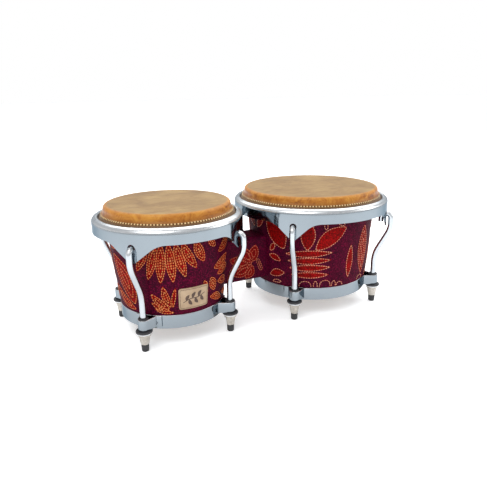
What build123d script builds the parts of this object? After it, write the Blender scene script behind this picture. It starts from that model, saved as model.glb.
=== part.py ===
"""A pair of bongo drums: the small drum (macho) and the large drum (hembra) on a shared centre block.

Millimetres, +Z up. The origin is on the floor, under the middle of the pair's overall box, and +X runs
from the small drum to the large one. A drum is tuned by turning its hexagonal nuts, which pull the hooked
rods down, and with them the rim that stretches the head.
"""

from build123d import *
from dataclasses import dataclass
from math import cos, radians, sin
import os

os.makedirs("parts", exist_ok=True)

# ---------------------------------------------------------------- driving dimensions, shared by both drums
DRUM_SPACING = 239.0            # from one drum's axis to the other's
LUG_ANGLES = (-135, -45, 45, 135)   # about each drum's axis, from +X
HEAD_TOP_Z = 187.0

# the stack under each tuning rod, from the floor up
FOOT_Z = (0.0, 10.0)
FOOT_RADIUS = 5.3
FOOT_TIP_RADIUS = 4.9
FOOT_ROUNDING = 1.5
FOOT_PLUG_TOP_Z = 13.0
NUT_HEX_Z = (10.0, 22.4)
NUT_HEX_APOTHEMS = (5.2, 6.7)   # at the bottom and at the top of its taper
NUT_FLANGE_TOP_Z = 25.4
NUT_FLANGE_RADIUS = 8.8
WASHER_TOP_Z = 27.2
WASHER_RADIUS = 9.9
BUSHING_FLANGE_RADIUS = 11.3
BUSHING_LIP_RADIUS = 7.0
BUSHING_TOP_Z = 47.8

ROD_RADIUS = 3.95               # 5/16 inch
ROD_FIT = 0.06                  # radial running clearance of a rod in its bushing and its nut
ROD_END_Z = 16.5
ROD_BEND_Z = (80.5, 123.0)      # corners of the S-bend, low and high
ROD_BEND_RADII = (50.0, 35.0)
HOOK_RADIUS = 7.4
HOOK_TOP_Z = 146.9
HOOK_LEG_Z = 134.0
FIT_GAP = 0.05                  # between pieces that are put together face to face

SHELL_WALL = 9.0
SHELL_BOTTOM_Z = 28.8
FORM_BELOW = 10.0               # how far a form of the shell goes on below its curve, tapering in
FORM_TAPER = 1.0
BEARING_EDGE_RADIUS = 4.0
FABRIC = 0.8
FABRIC_TOP_Z = 166.0
SKIN = 1.6                      # rawhide
SKIN_SHOULDER_RADIUS = 5.0
COLLAR_TOP_Z = 179.0
COLLAR_BEND_RADIUS = 8.0

HOOP_BAR_RADIUS = 3.0           # round bar of the flesh hoop
HOOP_Z = 164.2
HOOP_OFFSET = 8.2               # from the head's radius out to the flesh hoop's

RIM_SHEET = 2.4
RIM_BOTTOM_Z = 152.0
RIM_SHOULDER_Z = 169.3
RIM_CROWN_Z = 173.2
RIM_INNER_EDGE_Z = 169.0
RIM_CROWN_SETBACK = 2.0         # from the inner edge out to the crown's corner
RIM_SHOULDER_DROP = 0.62        # how far the section's corners move for each mm into the sheet
RIM_CROWN_DROP = 1.1
RIM_CROWN_SHIFT = 0.2
RIM_SHOULDER_RADIUS = 7.2
RIM_CROWN_RADIUS = 2.2
EAR_TIP_Z = 125.6               # where an ear's straight sides would meet
EAR_TIP_RADIUS = 5.0
EAR_FLARE_RADIUS = 30.0
EAR_HOLE_RADIUS = 5.0
EAR_HOLE_Z = 147.6

RING_SHEET = 2.0
RING_Z = (26.6, 45.7)
RING_LIP = 9.0                  # how far the bottom ring turns in under the shell
BRACKET_Z = (30.5, 45.7)
STRAP = 2.2                     # lug bracket's steel
STRAP_LOOP_RADIUS = 5.4         # inside the loop round the rod
STRAP_FOOT_HALF_WIDTH = 12.5    # where the loop's legs reach the ring
STRAP_WING_HALF_WIDTH = 19.0

BLOCK_DEPTH = 44.0
BLOCK_Z = (55.0, 121.0)
BLOCK_ROUNDING = 4.0
BOLT_RADIUS = 4.0               # M8
BOLT_HOLE_RADIUS = 4.3
BOLT_SPACING = 32.0
BOLT_HEAD_THICKNESS = 5.3
BOLT_NUT_THICKNESS = 6.8
BOLT_PAST_NUT = 4.0
HEX_APOTHEM = 6.5               # M8 bolt head and nut, 13 mm across flats
BOLT_WASHER_RADIUS = 8.5
BOLT_WASHER_THICKNESS = 1.6
SADDLE_WIDTH = 34.0
SADDLE_HEIGHT = 60.0
SADDLE_ROUNDING = 5.0

BADGE_SIZE = (42.5, 31.0)
BADGE_ROUNDING = 3.5
BADGE_THICKNESS = 1.4
BADGE_ANGLE = -87.0
BADGE_Z = 68.5


@dataclass
class Drum:
    """What differs from one drum to the other. Radii are from the drum's axis."""

    name: str
    head_radius: float
    rim_radius: float
    rim_inner_radius: float
    ring_radius: float
    rod_radius: float           # of the circle that the rods' straight parts stand on
    ear_half_width: float
    wood: tuple                 # (radius, height) up the outside of the wooden shell
    saddle_radius: float        # of the flat face of the saddle plate inside
    x: float = 0.0              # where its axis stands
    block_side: int = 1         # +1 where the centre block is on its +X side


MACHO = Drum(
    name="macho",
    head_radius=88.4,
    rim_radius=105.2,
    rim_inner_radius=95.0,
    ring_radius=74.8,
    rod_radius=89.3,
    ear_half_width=33.5,
    wood=((73.8, 46.0), (77.6, 82.0), (81.2, 117.0), (83.9, 147.0), (86.6, 178.0)),
    saddle_radius=60.0,
)
HEMBRA = Drum(
    name="hembra",
    head_radius=105.6,
    rim_radius=121.6,
    rim_inner_radius=112.0,
    ring_radius=91.6,
    rod_radius=105.4,
    ear_half_width=28.5,
    wood=((91.2, 46.0), (94.0, 77.0), (96.2, 108.0), (98.4, 142.0), (103.6, 178.0)),
    saddle_radius=77.4,
    block_side=-1,
)
DRUMS = (MACHO, HEMBRA)
HALF_LENGTH = (MACHO.rim_radius + DRUM_SPACING + HEMBRA.rim_radius) / 2
MACHO.x = MACHO.rim_radius - HALF_LENGTH
HEMBRA.x = HALF_LENGTH - HEMBRA.rim_radius

BLOCK_MIDDLE_Z = sum(BLOCK_Z) / 2
BLOCK_HEIGHT = BLOCK_Z[1] - BLOCK_Z[0]
BOLT_HEIGHTS = (BLOCK_MIDDLE_Z - BOLT_SPACING / 2, BLOCK_MIDDLE_Z + BOLT_SPACING / 2)
BOLT_PLACES = [(0, height) for height in BOLT_HEIGHTS]
ROD_BORE_RADIUS = ROD_RADIUS + ROD_FIT


# ---------------------------------------------------------------- axes, planes and small helpers
def axis_of(drum):
    return Axis((drum.x, 0, 0), (0, 0, 1))


def profile_plane(drum):
    """A vertical plane through the drum's axis. Local x is the radius and local y is the height."""
    return lug_plane(drum, 0)


def lug_plane(drum, angle):
    """A vertical plane through the drum's axis and a lug. Local x is the radius, local y the height."""
    a = radians(angle)
    return Plane(origin=(drum.x, 0, 0), x_dir=(cos(a), sin(a), 0), z_dir=(sin(a), -cos(a), 0))


def lug_floor_plane(drum, angle, height):
    """A level plane on the drum's axis. Local x points at a lug."""
    a = radians(angle)
    return Plane(origin=(drum.x, 0, height), x_dir=(cos(a), sin(a), 0), z_dir=(0, 0, 1))


def facing_plane(drum, angle):
    """A vertical plane on the drum's axis, looking out at an angle. Local y is the height."""
    a = radians(angle)
    return Plane(origin=(drum.x, 0, 0), x_dir=(-sin(a), cos(a), 0), z_dir=(cos(a), sin(a), 0))


def rod_plane(drum, angle, height):
    """A level plane centred on the straight part of a tuning rod."""
    a = radians(angle)
    foot = (drum.x + drum.rod_radius * cos(a), drum.rod_radius * sin(a), height)
    return Plane(origin=foot, x_dir=(cos(a), sin(a), 0), z_dir=(0, 0, 1))


def across_plane(x):
    """A plane across the pair's length. Local x is the pair's +Y and local y is the height."""
    return Plane(origin=(x, 0, 0), x_dir=(0, 1, 0), z_dir=(1, 0, 0))


def moved_out(points, distance):
    return [(radius + distance, height) for radius, height in points]


def disc(plane, radius, thickness, mode=Mode.ADD):
    """A round plate on a plane, within the part that is being built."""
    with BuildSketch(plane) as outline:
        Circle(radius)
    extrude(outline.sketch, amount=thickness, mode=mode)


def write(builder, name):
    builder.part.label = name
    export_step(builder.part, f"parts/{name}.step")


# ---------------------------------------------------------------- shells, and what is glued or cut to them
def body_of_revolution(drum, distance, top_z):
    """A full round solid with the shell's outside moved out by a distance. Other pieces are cut to it."""
    side = moved_out(drum.wood, distance)
    floor_z = side[0][1] - FORM_BELOW
    with BuildPart() as form:
        with BuildSketch(profile_plane(drum)):
            with BuildLine():
                curve = Spline(*side)
                Polyline(
                    curve @ 1,
                    (0, side[-1][1]),
                    (0, floor_z),
                    (side[0][0] - FORM_TAPER, floor_z),
                    curve @ 0,
                )
            make_face()
        revolve(axis=axis_of(drum))
        with BuildSketch(lug_floor_plane(drum, 0, top_z)):
            Circle(drum.rim_radius)
        extrude(amount=HEAD_TOP_Z, mode=Mode.SUBTRACT)
    return form.part


def make_shell(drum):
    """Wooden shell, open at the bottom: stepped in for the bottom ring, rounded where the head bears."""
    top_z = HEAD_TOP_Z - SKIN - FIT_GAP
    top_radius, straight_z = drum.wood[-1]
    step_radius = drum.ring_radius - RING_SHEET - FIT_GAP
    step_z = drum.wood[0][1]
    inside = moved_out(drum.wood, -SHELL_WALL)
    with BuildPart() as shell:
        with BuildSketch(profile_plane(drum)):
            with BuildLine():
                outer = Spline(*drum.wood)
                crown_middle = (top_radius - BEARING_EDGE_RADIUS, top_z - BEARING_EDGE_RADIUS)
                crown = CenterArc(crown_middle, BEARING_EDGE_RADIUS, 0, 90)
                Line(outer @ 1, crown @ 0)
                inner = Spline(*inside)
                Line(crown @ 1, inner @ 1)
                Polyline(
                    inner @ 0,
                    (inside[0][0], SHELL_BOTTOM_Z),
                    (step_radius, SHELL_BOTTOM_Z),
                    (step_radius, step_z),
                    outer @ 0,
                )
            make_face()
        revolve(axis=axis_of(drum))
        with BuildSketch(across_plane(drum.x)):
            with Locations(*BOLT_PLACES):
                Circle(BOLT_HOLE_RADIUS)
        extrude(amount=drum.block_side * drum.rim_radius, mode=Mode.SUBTRACT)
    write(shell, f"{drum.name}_shell")


def make_fabric_cover(drum):
    """Fabric glued round the shell, cut away where the centre block is bolted on."""
    outside = body_of_revolution(drum, FABRIC, FABRIC_TOP_Z)
    inside = body_of_revolution(drum, 0, HEAD_TOP_Z)
    opening = (BLOCK_DEPTH + 2 * FABRIC, BLOCK_HEIGHT + 2 * FABRIC)
    with BuildPart() as cover:
        add(outside)
        add(inside, mode=Mode.SUBTRACT)
        disc(lug_floor_plane(drum, 0, 0), drum.rim_radius, drum.wood[0][1], mode=Mode.SUBTRACT)
        with BuildSketch(across_plane(drum.x)):
            with Locations((0, BLOCK_MIDDLE_Z)):
                RectangleRounded(*opening, BLOCK_ROUNDING + FABRIC)
        extrude(amount=drum.block_side * drum.rim_radius, mode=Mode.SUBTRACT)
    write(cover, f"{drum.name}_fabric_cover")


# ---------------------------------------------------------------- heads
def make_head(drum):
    """Rawhide over the bearing edge, flaring down to a tuck wrapped round the flesh hoop."""
    radius = drum.head_radius
    hoop = (radius + HOOP_OFFSET, HOOP_Z)
    tuck_radius = HOOP_BAR_RADIUS + FIT_GAP + SKIN
    with BuildPart() as head:
        with BuildSketch(profile_plane(drum)):
            with BuildLine():
                outside = FilletPolyline(
                    (0, HEAD_TOP_Z),
                    (radius, HEAD_TOP_Z),
                    (radius, COLLAR_TOP_Z),
                    (hoop[0] - SKIN, hoop[1] - SKIN),
                    radius=(SKIN_SHOULDER_RADIUS, COLLAR_BEND_RADIUS),
                )
                inside = FilletPolyline(
                    (0, HEAD_TOP_Z - SKIN),
                    (radius - SKIN, HEAD_TOP_Z - SKIN),
                    (radius - SKIN, COLLAR_TOP_Z - SKIN / 3),
                    (hoop[0] - tuck_radius, hoop[1] - SKIN),
                    radius=(SKIN_SHOULDER_RADIUS - SKIN, COLLAR_BEND_RADIUS),
                )
                Line(outside @ 0, inside @ 0)
                Line(outside @ 1, inside @ 1)
            make_face()
            with Locations(hoop):
                Circle(tuck_radius)
                Circle(HOOP_BAR_RADIUS + FIT_GAP, mode=Mode.SUBTRACT)
        revolve(axis=axis_of(drum))
    write(head, f"{drum.name}_head")


def make_flesh_hoop(drum):
    """Round steel bar that the skin is tucked round."""
    with BuildPart() as hoop:
        with BuildSketch(profile_plane(drum)):
            with Locations((drum.head_radius + HOOP_OFFSET, HOOP_Z)):
                Circle(HOOP_BAR_RADIUS)
        revolve(axis=axis_of(drum))
    write(hoop, f"{drum.name}_flesh_hoop")


# ---------------------------------------------------------------- rims and rods
def rim_section(drum, inset, crown_radius):
    """The rim's section line, from bottom edge over the crown to inner edge, moved in by an inset."""
    outer, inner = drum.rim_radius - inset, drum.rim_inner_radius + inset
    return FilletPolyline(
        (outer, RIM_BOTTOM_Z),
        (outer, RIM_SHOULDER_Z - inset * RIM_SHOULDER_DROP),
        (inner + RIM_CROWN_SETBACK - inset * RIM_CROWN_SHIFT, RIM_CROWN_Z - inset * RIM_CROWN_DROP),
        (inner, RIM_INNER_EDGE_Z),
        radius=(RIM_SHOULDER_RADIUS - inset, crown_radius),
    )


def make_rim(drum):
    """Pressed steel rim: a wall, a rolled crown over the flesh hoop, and an ear at each lug."""
    wide = drum.ear_half_width + EAR_FLARE_RADIUS
    wall_bottom = RIM_BOTTOM_Z + RIM_SHEET
    with BuildPart() as ears:
        with BuildSketch(lug_floor_plane(drum, 0, 0)):
            Circle(drum.rim_radius)
            Circle(drum.rim_radius - RIM_SHEET, mode=Mode.SUBTRACT)
        extrude(amount=wall_bottom)
        with BuildSketch(*[facing_plane(drum, angle) for angle in LUG_ANGLES]):
            with BuildLine():
                outline = FilletPolyline(
                    (-wide, RIM_BOTTOM_Z),
                    (-drum.ear_half_width, RIM_BOTTOM_Z),
                    (0, EAR_TIP_Z),
                    (drum.ear_half_width, RIM_BOTTOM_Z),
                    (wide, RIM_BOTTOM_Z),
                    radius=(EAR_FLARE_RADIUS, EAR_TIP_RADIUS, EAR_FLARE_RADIUS),
                )
                Polyline(outline @ 1, (wide, HEAD_TOP_Z), (-wide, HEAD_TOP_Z), outline @ 0)
            make_face()
        extrude(amount=drum.rim_radius + RIM_SHEET, mode=Mode.INTERSECT)
    with BuildPart() as rim:
        with BuildSketch(profile_plane(drum)):
            with BuildLine():
                outside = rim_section(drum, 0, RIM_CROWN_RADIUS)
                inside = rim_section(drum, RIM_SHEET, RIM_CROWN_RADIUS / 4)
                Line(outside @ 0, inside @ 0)
                Line(outside @ 1, inside @ 1)
            make_face()
        revolve(axis=axis_of(drum))
        add(ears.part)
        with BuildSketch(*[facing_plane(drum, angle) for angle in LUG_ANGLES]):
            with Locations((0, EAR_HOLE_Z)):
                Circle(EAR_HOLE_RADIUS)
        extrude(amount=drum.rim_radius + RIM_SHEET, mode=Mode.SUBTRACT)
    write(rim, f"{drum.name}_rim")


def make_tuning_rod(drum, number, angle):
    """Hooked through the rim's ear from outside, bent in to the lug bracket, and down into its nut."""
    hook_middle = drum.rim_radius - RIM_SHEET / 2
    with BuildPart() as rod:
        with BuildLine(lug_plane(drum, angle)) as route:
            FilletPolyline(
                (hook_middle - HOOK_RADIUS, HOOK_LEG_Z),
                (hook_middle - HOOK_RADIUS, HOOK_TOP_Z),
                (hook_middle + HOOK_RADIUS, HOOK_TOP_Z),
                (hook_middle + HOOK_RADIUS, ROD_BEND_Z[1]),
                (drum.rod_radius, ROD_BEND_Z[0]),
                (drum.rod_radius, ROD_END_Z),
                radius=(HOOK_RADIUS - 0.02, HOOK_RADIUS - 0.02, ROD_BEND_RADII[1], ROD_BEND_RADII[0]),
            )
        with BuildSketch(Plane(origin=route.line @ 0, z_dir=route.line % 0)):
            Circle(ROD_RADIUS)
        sweep(path=route.line)
        ends = rod.faces().filter_by(GeomType.PLANE).edges()
        chamfer(ends, ROD_RADIUS / 5)
    write(rod, f"{drum.name}_tuning_rod_{number}")


# ---------------------------------------------------------------- bottom rings and brackets
def make_bottom_ring(drum):
    """Steel band round the shell's foot, turned in under it to take the rods' pull."""
    wall = drum.ring_radius - RING_SHEET
    with BuildPart() as ring:
        with BuildSketch(lug_floor_plane(drum, 0, RING_Z[0])):
            Circle(drum.ring_radius)
        extrude(amount=RING_Z[1] - RING_Z[0])
        disc(lug_floor_plane(drum, 0, RING_Z[0] + RING_SHEET), wall, RING_Z[1], mode=Mode.SUBTRACT)
        disc(lug_floor_plane(drum, 0, 0), wall - RING_LIP, RING_Z[1], mode=Mode.SUBTRACT)
        outer_edges = ring.edges().filter_by(GeomType.CIRCLE).filter_by(lambda e: e.radius > wall + FIT_GAP)
        fillet(outer_edges, RING_SHEET / 3)
    write(ring, f"{drum.name}_bottom_ring")


def strap_outline(drum, loop_radius, foot_radius, foot_half_width):
    """Edges whose hull is the space from the ring out round a rod."""
    foot = Edge.make_line((foot_radius, -foot_half_width), (foot_radius, foot_half_width))
    loop = Edge.make_circle(loop_radius, Plane((drum.rod_radius, 0, 0)))
    return [foot, loop]


def make_lug_brackets(drum):
    """Four bent straps welded on the bottom ring, each looped round a rod."""
    ring = drum.ring_radius
    wing_degrees = STRAP_WING_HALF_WIDTH / radians(1) / ring
    with BuildPart() as brackets:
        for angle in LUG_ANGLES:
            with BuildSketch(lug_floor_plane(drum, angle, BRACKET_Z[0])):
                make_hull(strap_outline(drum, STRAP_LOOP_RADIUS + STRAP, ring, STRAP_FOOT_HALF_WIDTH))
                with BuildLine():
                    wing = CenterArc((0, 0), ring + STRAP, -wing_degrees, 2 * wing_degrees)
                    Polyline(wing @ 1, (0, 0), wing @ 0)
                make_face()
                hollow_foot = STRAP_FOOT_HALF_WIDTH - STRAP
                hollow = strap_outline(drum, STRAP_LOOP_RADIUS, ring - STRAP, hollow_foot)
                make_hull(hollow, mode=Mode.SUBTRACT)
                Circle(ring, mode=Mode.SUBTRACT)
            extrude(amount=BRACKET_Z[1] - BRACKET_Z[0])
    write(brackets, f"{drum.name}_lug_brackets")


def make_rod_bushings(drum):
    """Four rubber bushings: a sleeve in the bracket's loop, a lip above it, and a wide flange below."""
    lip_z = BRACKET_Z[1] + FIT_GAP
    sleeve_radius = STRAP_LOOP_RADIUS - 2 * FIT_GAP
    flange_z = WASHER_TOP_Z + FIT_GAP
    with BuildPart() as bushings:
        for angle in LUG_ANGLES:
            disc(rod_plane(drum, angle, flange_z), BUSHING_FLANGE_RADIUS, BRACKET_Z[0] - FIT_GAP - flange_z)
            disc(rod_plane(drum, angle, flange_z), sleeve_radius, BUSHING_TOP_Z - flange_z)
            disc(rod_plane(drum, angle, lip_z), BUSHING_LIP_RADIUS, BUSHING_TOP_Z - lip_z)
            disc(rod_plane(drum, angle, 0), ROD_BORE_RADIUS, HEAD_TOP_Z, mode=Mode.SUBTRACT)
    write(bushings, f"{drum.name}_rod_bushings")


def make_nut_washers(drum):
    """Four steel washers between the bushings and the nuts."""
    bottom_z = NUT_FLANGE_TOP_Z + FIT_GAP
    with BuildPart() as washers:
        for angle in LUG_ANGLES:
            disc(rod_plane(drum, angle, bottom_z), WASHER_RADIUS, WASHER_TOP_Z - bottom_z)
            disc(rod_plane(drum, angle, 0), ROD_BORE_RADIUS + FIT_GAP, HEAD_TOP_Z, mode=Mode.SUBTRACT)
    write(washers, f"{drum.name}_nut_washers")


# ---------------------------------------------------------------- nuts and feet
def make_tuning_nut(drum, number, angle):
    """Flanged nut with a tapered hexagon. Its thread is drawn as a plain bore that the rod runs in."""
    with BuildPart() as nut:
        with BuildSketch(rod_plane(drum, angle, NUT_HEX_Z[0])):
            RegularPolygon(NUT_HEX_APOTHEMS[0], 6, major_radius=False)
        with BuildSketch(rod_plane(drum, angle, NUT_HEX_Z[1])):
            RegularPolygon(NUT_HEX_APOTHEMS[1], 6, major_radius=False)
        loft()
        disc(rod_plane(drum, angle, NUT_HEX_Z[1]), NUT_FLANGE_RADIUS, NUT_FLANGE_TOP_Z - NUT_HEX_Z[1])
        flange_edges = nut.edges().filter_by(GeomType.CIRCLE)
        fillet(flange_edges, (NUT_FLANGE_TOP_Z - NUT_HEX_Z[1]) / 4)
        disc(rod_plane(drum, angle, 0), ROD_BORE_RADIUS, HEAD_TOP_Z, mode=Mode.SUBTRACT)
    write(nut, f"{drum.name}_tuning_nut_{number}")


def make_nut_foot(drum, number, angle):
    """Rubber foot plugged into the bottom of a nut. The drums stand on these."""
    with BuildPart() as foot:
        with BuildSketch(rod_plane(drum, angle, FOOT_Z[0])):
            Circle(FOOT_TIP_RADIUS)
        with BuildSketch(rod_plane(drum, angle, FOOT_Z[1])):
            Circle(FOOT_RADIUS)
        loft()
        fillet(foot.edges().sort_by(Axis.Z)[0], FOOT_ROUNDING)
        disc(rod_plane(drum, angle, FOOT_Z[1]), ROD_RADIUS - FIT_GAP, FOOT_PLUG_TOP_Z - FOOT_Z[1])
    write(foot, f"{drum.name}_nut_foot_{number}")


# ---------------------------------------------------------------- the centre block and its bolts
def block_bar(grow):
    """A bar with the centre block's section grown by a thickness, long enough to reach into both shells."""
    start, end = MACHO.x + MACHO.saddle_radius, HEMBRA.x - HEMBRA.saddle_radius
    with BuildPart() as bar:
        with BuildSketch(across_plane(start)):
            with Locations((0, BLOCK_MIDDLE_Z)):
                RectangleRounded(BLOCK_DEPTH + 2 * grow, BLOCK_HEIGHT + 2 * grow, BLOCK_ROUNDING + grow)
        extrude(amount=end - start)
    return bar.part


def make_center_block():
    """Wooden block between the shells, hollowed to sit on both and drilled for the bolts."""
    bar = block_bar(0)
    shells = [body_of_revolution(drum, 0, HEAD_TOP_Z) for drum in DRUMS]
    with BuildPart() as block:
        add(bar)
        add(shells, mode=Mode.SUBTRACT)
        with BuildSketch(across_plane(MACHO.x)):
            with Locations(*BOLT_PLACES):
                Circle(BOLT_HOLE_RADIUS)
        extrude(amount=DRUM_SPACING, mode=Mode.SUBTRACT)
    write(block, "center_block")


def make_center_block_cover():
    """Fabric wrapped round the centre block."""
    outside = block_bar(FABRIC)
    inside = block_bar(0)
    shells = [body_of_revolution(drum, 0, HEAD_TOP_Z) for drum in DRUMS]
    with BuildPart() as cover:
        add(outside)
        add([inside, *shells], mode=Mode.SUBTRACT)
    write(cover, "center_block_cover")


def seat_x(drum, distance):
    """How far along X a point is that stands a distance inward of a saddle plate's flat face."""
    return drum.x + drum.block_side * (drum.saddle_radius - distance)


def make_saddle_plate(drum):
    """Cast plate inside a shell: round on the wall's side, flat where the bolts' washers sit."""
    face = across_plane(seat_x(drum, 0))
    inside = body_of_revolution(drum, -SHELL_WALL - FIT_GAP, HEAD_TOP_Z)
    with BuildPart() as saddle:
        with BuildSketch(face):
            with Locations((0, BLOCK_MIDDLE_Z)):
                RectangleRounded(SADDLE_WIDTH, SADDLE_HEIGHT, SADDLE_ROUNDING)
            with Locations(*BOLT_PLACES):
                Circle(BOLT_HOLE_RADIUS, mode=Mode.SUBTRACT)
        extrude(amount=drum.block_side * SADDLE_WIDTH)
        add(inside, mode=Mode.INTERSECT)
    write(saddle, f"{drum.name}_saddle_plate")


def make_block_bolt_washers():
    with BuildPart() as washers:
        for drum in DRUMS:
            with BuildSketch(across_plane(seat_x(drum, 0))):
                with Locations(*BOLT_PLACES):
                    Circle(BOLT_WASHER_RADIUS)
                    Circle(BOLT_HOLE_RADIUS, mode=Mode.SUBTRACT)
            extrude(amount=-drum.block_side * BOLT_WASHER_THICKNESS)
    write(washers, "block_bolt_washers")


def make_block_bolts():
    """Two M8 bolts from inside the large shell, through the block, to inside the small one."""
    head_x = seat_x(HEMBRA, BOLT_WASHER_THICKNESS)
    end_x = seat_x(MACHO, BOLT_WASHER_THICKNESS + BOLT_NUT_THICKNESS + BOLT_PAST_NUT)
    with BuildPart() as bolts:
        with BuildSketch(across_plane(head_x)):
            with Locations(*BOLT_PLACES):
                RegularPolygon(HEX_APOTHEM, 6, major_radius=False)
        extrude(amount=BOLT_HEAD_THICKNESS)
        with BuildSketch(across_plane(head_x)):
            with Locations(*BOLT_PLACES):
                Circle(BOLT_RADIUS)
        extrude(amount=end_x - head_x)
    write(bolts, "block_bolts")


def make_block_bolt_nuts():
    with BuildPart() as nuts:
        with BuildSketch(across_plane(seat_x(MACHO, BOLT_WASHER_THICKNESS))):
            with Locations(*BOLT_PLACES):
                RegularPolygon(HEX_APOTHEM, 6, major_radius=False)
                Circle(BOLT_RADIUS + FIT_GAP, mode=Mode.SUBTRACT)
        extrude(amount=-BOLT_NUT_THICKNESS)
    write(nuts, "block_bolt_nuts")


def make_badge():
    """Small blank plate glued low on the front of the small drum, bent to the shell."""
    outside = body_of_revolution(MACHO, FABRIC + BADGE_THICKNESS, HEAD_TOP_Z)
    inside = body_of_revolution(MACHO, FABRIC, HEAD_TOP_Z)
    with BuildPart() as badge:
        with BuildSketch(facing_plane(MACHO, BADGE_ANGLE)):
            with Locations((0, BADGE_Z)):
                RectangleRounded(*BADGE_SIZE, BADGE_ROUNDING)
        extrude(amount=MACHO.rim_radius)
        add(outside, mode=Mode.INTERSECT)
        add(inside, mode=Mode.SUBTRACT)
    write(badge, "macho_badge")


# ---------------------------------------------------------------- build everything
for each_drum in DRUMS:
    make_shell(each_drum)
    make_fabric_cover(each_drum)
    make_head(each_drum)
    make_flesh_hoop(each_drum)
    make_rim(each_drum)
    make_bottom_ring(each_drum)
    make_lug_brackets(each_drum)
    make_rod_bushings(each_drum)
    make_nut_washers(each_drum)
    make_saddle_plate(each_drum)
    for lug, lug_angle in enumerate(LUG_ANGLES, start=1):
        make_tuning_rod(each_drum, lug, lug_angle)
        make_tuning_nut(each_drum, lug, lug_angle)
        make_nut_foot(each_drum, lug, lug_angle)
make_center_block()
make_center_block_cover()
make_block_bolts()
make_block_bolt_washers()
make_block_bolt_nuts()
make_badge()
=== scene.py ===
"""The looks of a pair of bongo drums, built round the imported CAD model.

Lengths are metres, with +Z up, in the model's own frame.

Every place and size that a CAD part has is read from the frame. The constants below are the finer
shapes that the CAD parts share, such as sheet thicknesses and roundings, and the cloth, thread and
rawhide detail.
"""

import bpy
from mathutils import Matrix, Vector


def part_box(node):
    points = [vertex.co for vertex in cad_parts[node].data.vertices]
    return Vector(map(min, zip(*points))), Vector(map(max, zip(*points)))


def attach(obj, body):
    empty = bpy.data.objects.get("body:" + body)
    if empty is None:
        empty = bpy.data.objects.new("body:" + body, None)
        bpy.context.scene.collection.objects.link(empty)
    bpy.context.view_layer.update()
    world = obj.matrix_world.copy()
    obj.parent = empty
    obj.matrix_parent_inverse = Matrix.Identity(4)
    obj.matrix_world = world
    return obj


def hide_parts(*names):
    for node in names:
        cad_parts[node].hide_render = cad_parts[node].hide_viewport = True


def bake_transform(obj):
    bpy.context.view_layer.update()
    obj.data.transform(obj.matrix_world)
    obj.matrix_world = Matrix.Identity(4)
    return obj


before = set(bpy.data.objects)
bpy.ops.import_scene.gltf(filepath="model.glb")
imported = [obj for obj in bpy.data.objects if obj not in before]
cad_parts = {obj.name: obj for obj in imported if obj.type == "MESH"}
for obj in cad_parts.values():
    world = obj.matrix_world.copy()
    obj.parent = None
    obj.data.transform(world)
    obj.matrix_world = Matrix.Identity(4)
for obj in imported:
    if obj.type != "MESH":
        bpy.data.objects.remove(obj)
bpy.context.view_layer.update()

import copy
import math
import random

import bpy
import numpy as np
from mathutils import Matrix, Vector
from mathutils.geometry import delaunay_2d_cdt

MM = 0.001
TURN = 2 * math.pi

# ---------------------------------------------------------------- sizes shared by both drums
SKIN = 1.6 * MM                 # rawhide
SKIN_SHOULDER = 5.0 * MM
COLLAR_DROP = 8.0 * MM          # from the head's top down to the corner where its collar flares
COLLAR_BEND = 8.0 * MM
HOOP_OFFSET = 8.2 * MM          # from the head's radius out to the flesh hoop's
BEAD_DROP = 12.0 * MM           # from the head's top down to the ridge round its collar's foot
BEAD_SIZE = 0.9 * MM
BEAD_PITCH = 4.1 * MM
PUCKER_PITCH = 4.6 * MM         # of the folds up the collar
RIM_SHEET = 2.4 * MM
HOOK = 7.4 * MM                 # radius of a tuning rod's hook, on its centre line
HOOK_LEG = 13.0 * MM
ROD_BEND_HEIGHTS = (80.5 * MM, 123.0 * MM)
ROD_BEND_RADII = (50.0 * MM, 35.0 * MM)
ROD_FIT = 0.06 * MM             # clearance of a rod in its bushing and its nut
NUT_HEXAGON = (5.2 * MM, 6.7 * MM)      # half widths at the bottom and at the top of its taper
NUT_CORNER = 1.344              # a round limit clear of the hexagon's corners, for each mm of half width
NUT_FLANGE = 3.0 * MM
NUT_FLANGE_RADIUS = 8.8 * MM
FOOT_RADIUS = 5.3 * MM
FOOT_TIP_RADIUS = 4.9 * MM
FOOT_PLUG_RADIUS = 3.8 * MM
BUSHING_RADIUS = 5.3 * MM       # inside the bracket's loop
BUSHING_FLANGE_RADIUS = 11.3 * MM
BUSHING_LIP_RADIUS = 7.0 * MM
WASHER_RADIUS = 9.9 * MM
FIT_GAP = 0.05 * MM             # between pieces put together face to face
STRAP = 2.2 * MM                # lug bracket's steel
STRAP_LOOP = 5.4 * MM           # inside the loop round a rod
STRAP_FOOT = 12.5 * MM          # half the width where the loop's legs reach the ring
STRAP_WING = 19.0 * MM
CLOTH = 0.8 * MM
THREAD_PITCH = 1.15 * MM        # of the cloth's weave
PATCH = 0.45 * MM               # how proud an applied patch stands of the cloth
BLOCK_ROUNDING = 4.0 * MM
CUT_INSET = 0.75 * MM           # how far the covers reach in under the block's ends
BADGE_WIDTH = 42.5 * MM
BADGE_THICKNESS = 1.4 * MM
BADGE_ANGLE = -87.0
STITCH_PITCH = 3.7 * MM
STITCH_SHARE = 0.74             # how much of its pitch a stitch covers
STITCH_WIDTH = 1.35 * MM
STITCH_HEIGHT = 0.75 * MM
STITCH_ALONG = (-0.5, -0.43, -0.22, 0.0, 0.22, 0.43, 0.5)
STITCH_GIRTH = (0.35, 0.78, 0.97, 1.0, 0.97, 0.78, 0.35)
LUG_ANGLES = tuple(math.radians(a) for a in (-135, -45, 45, 135))


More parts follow.
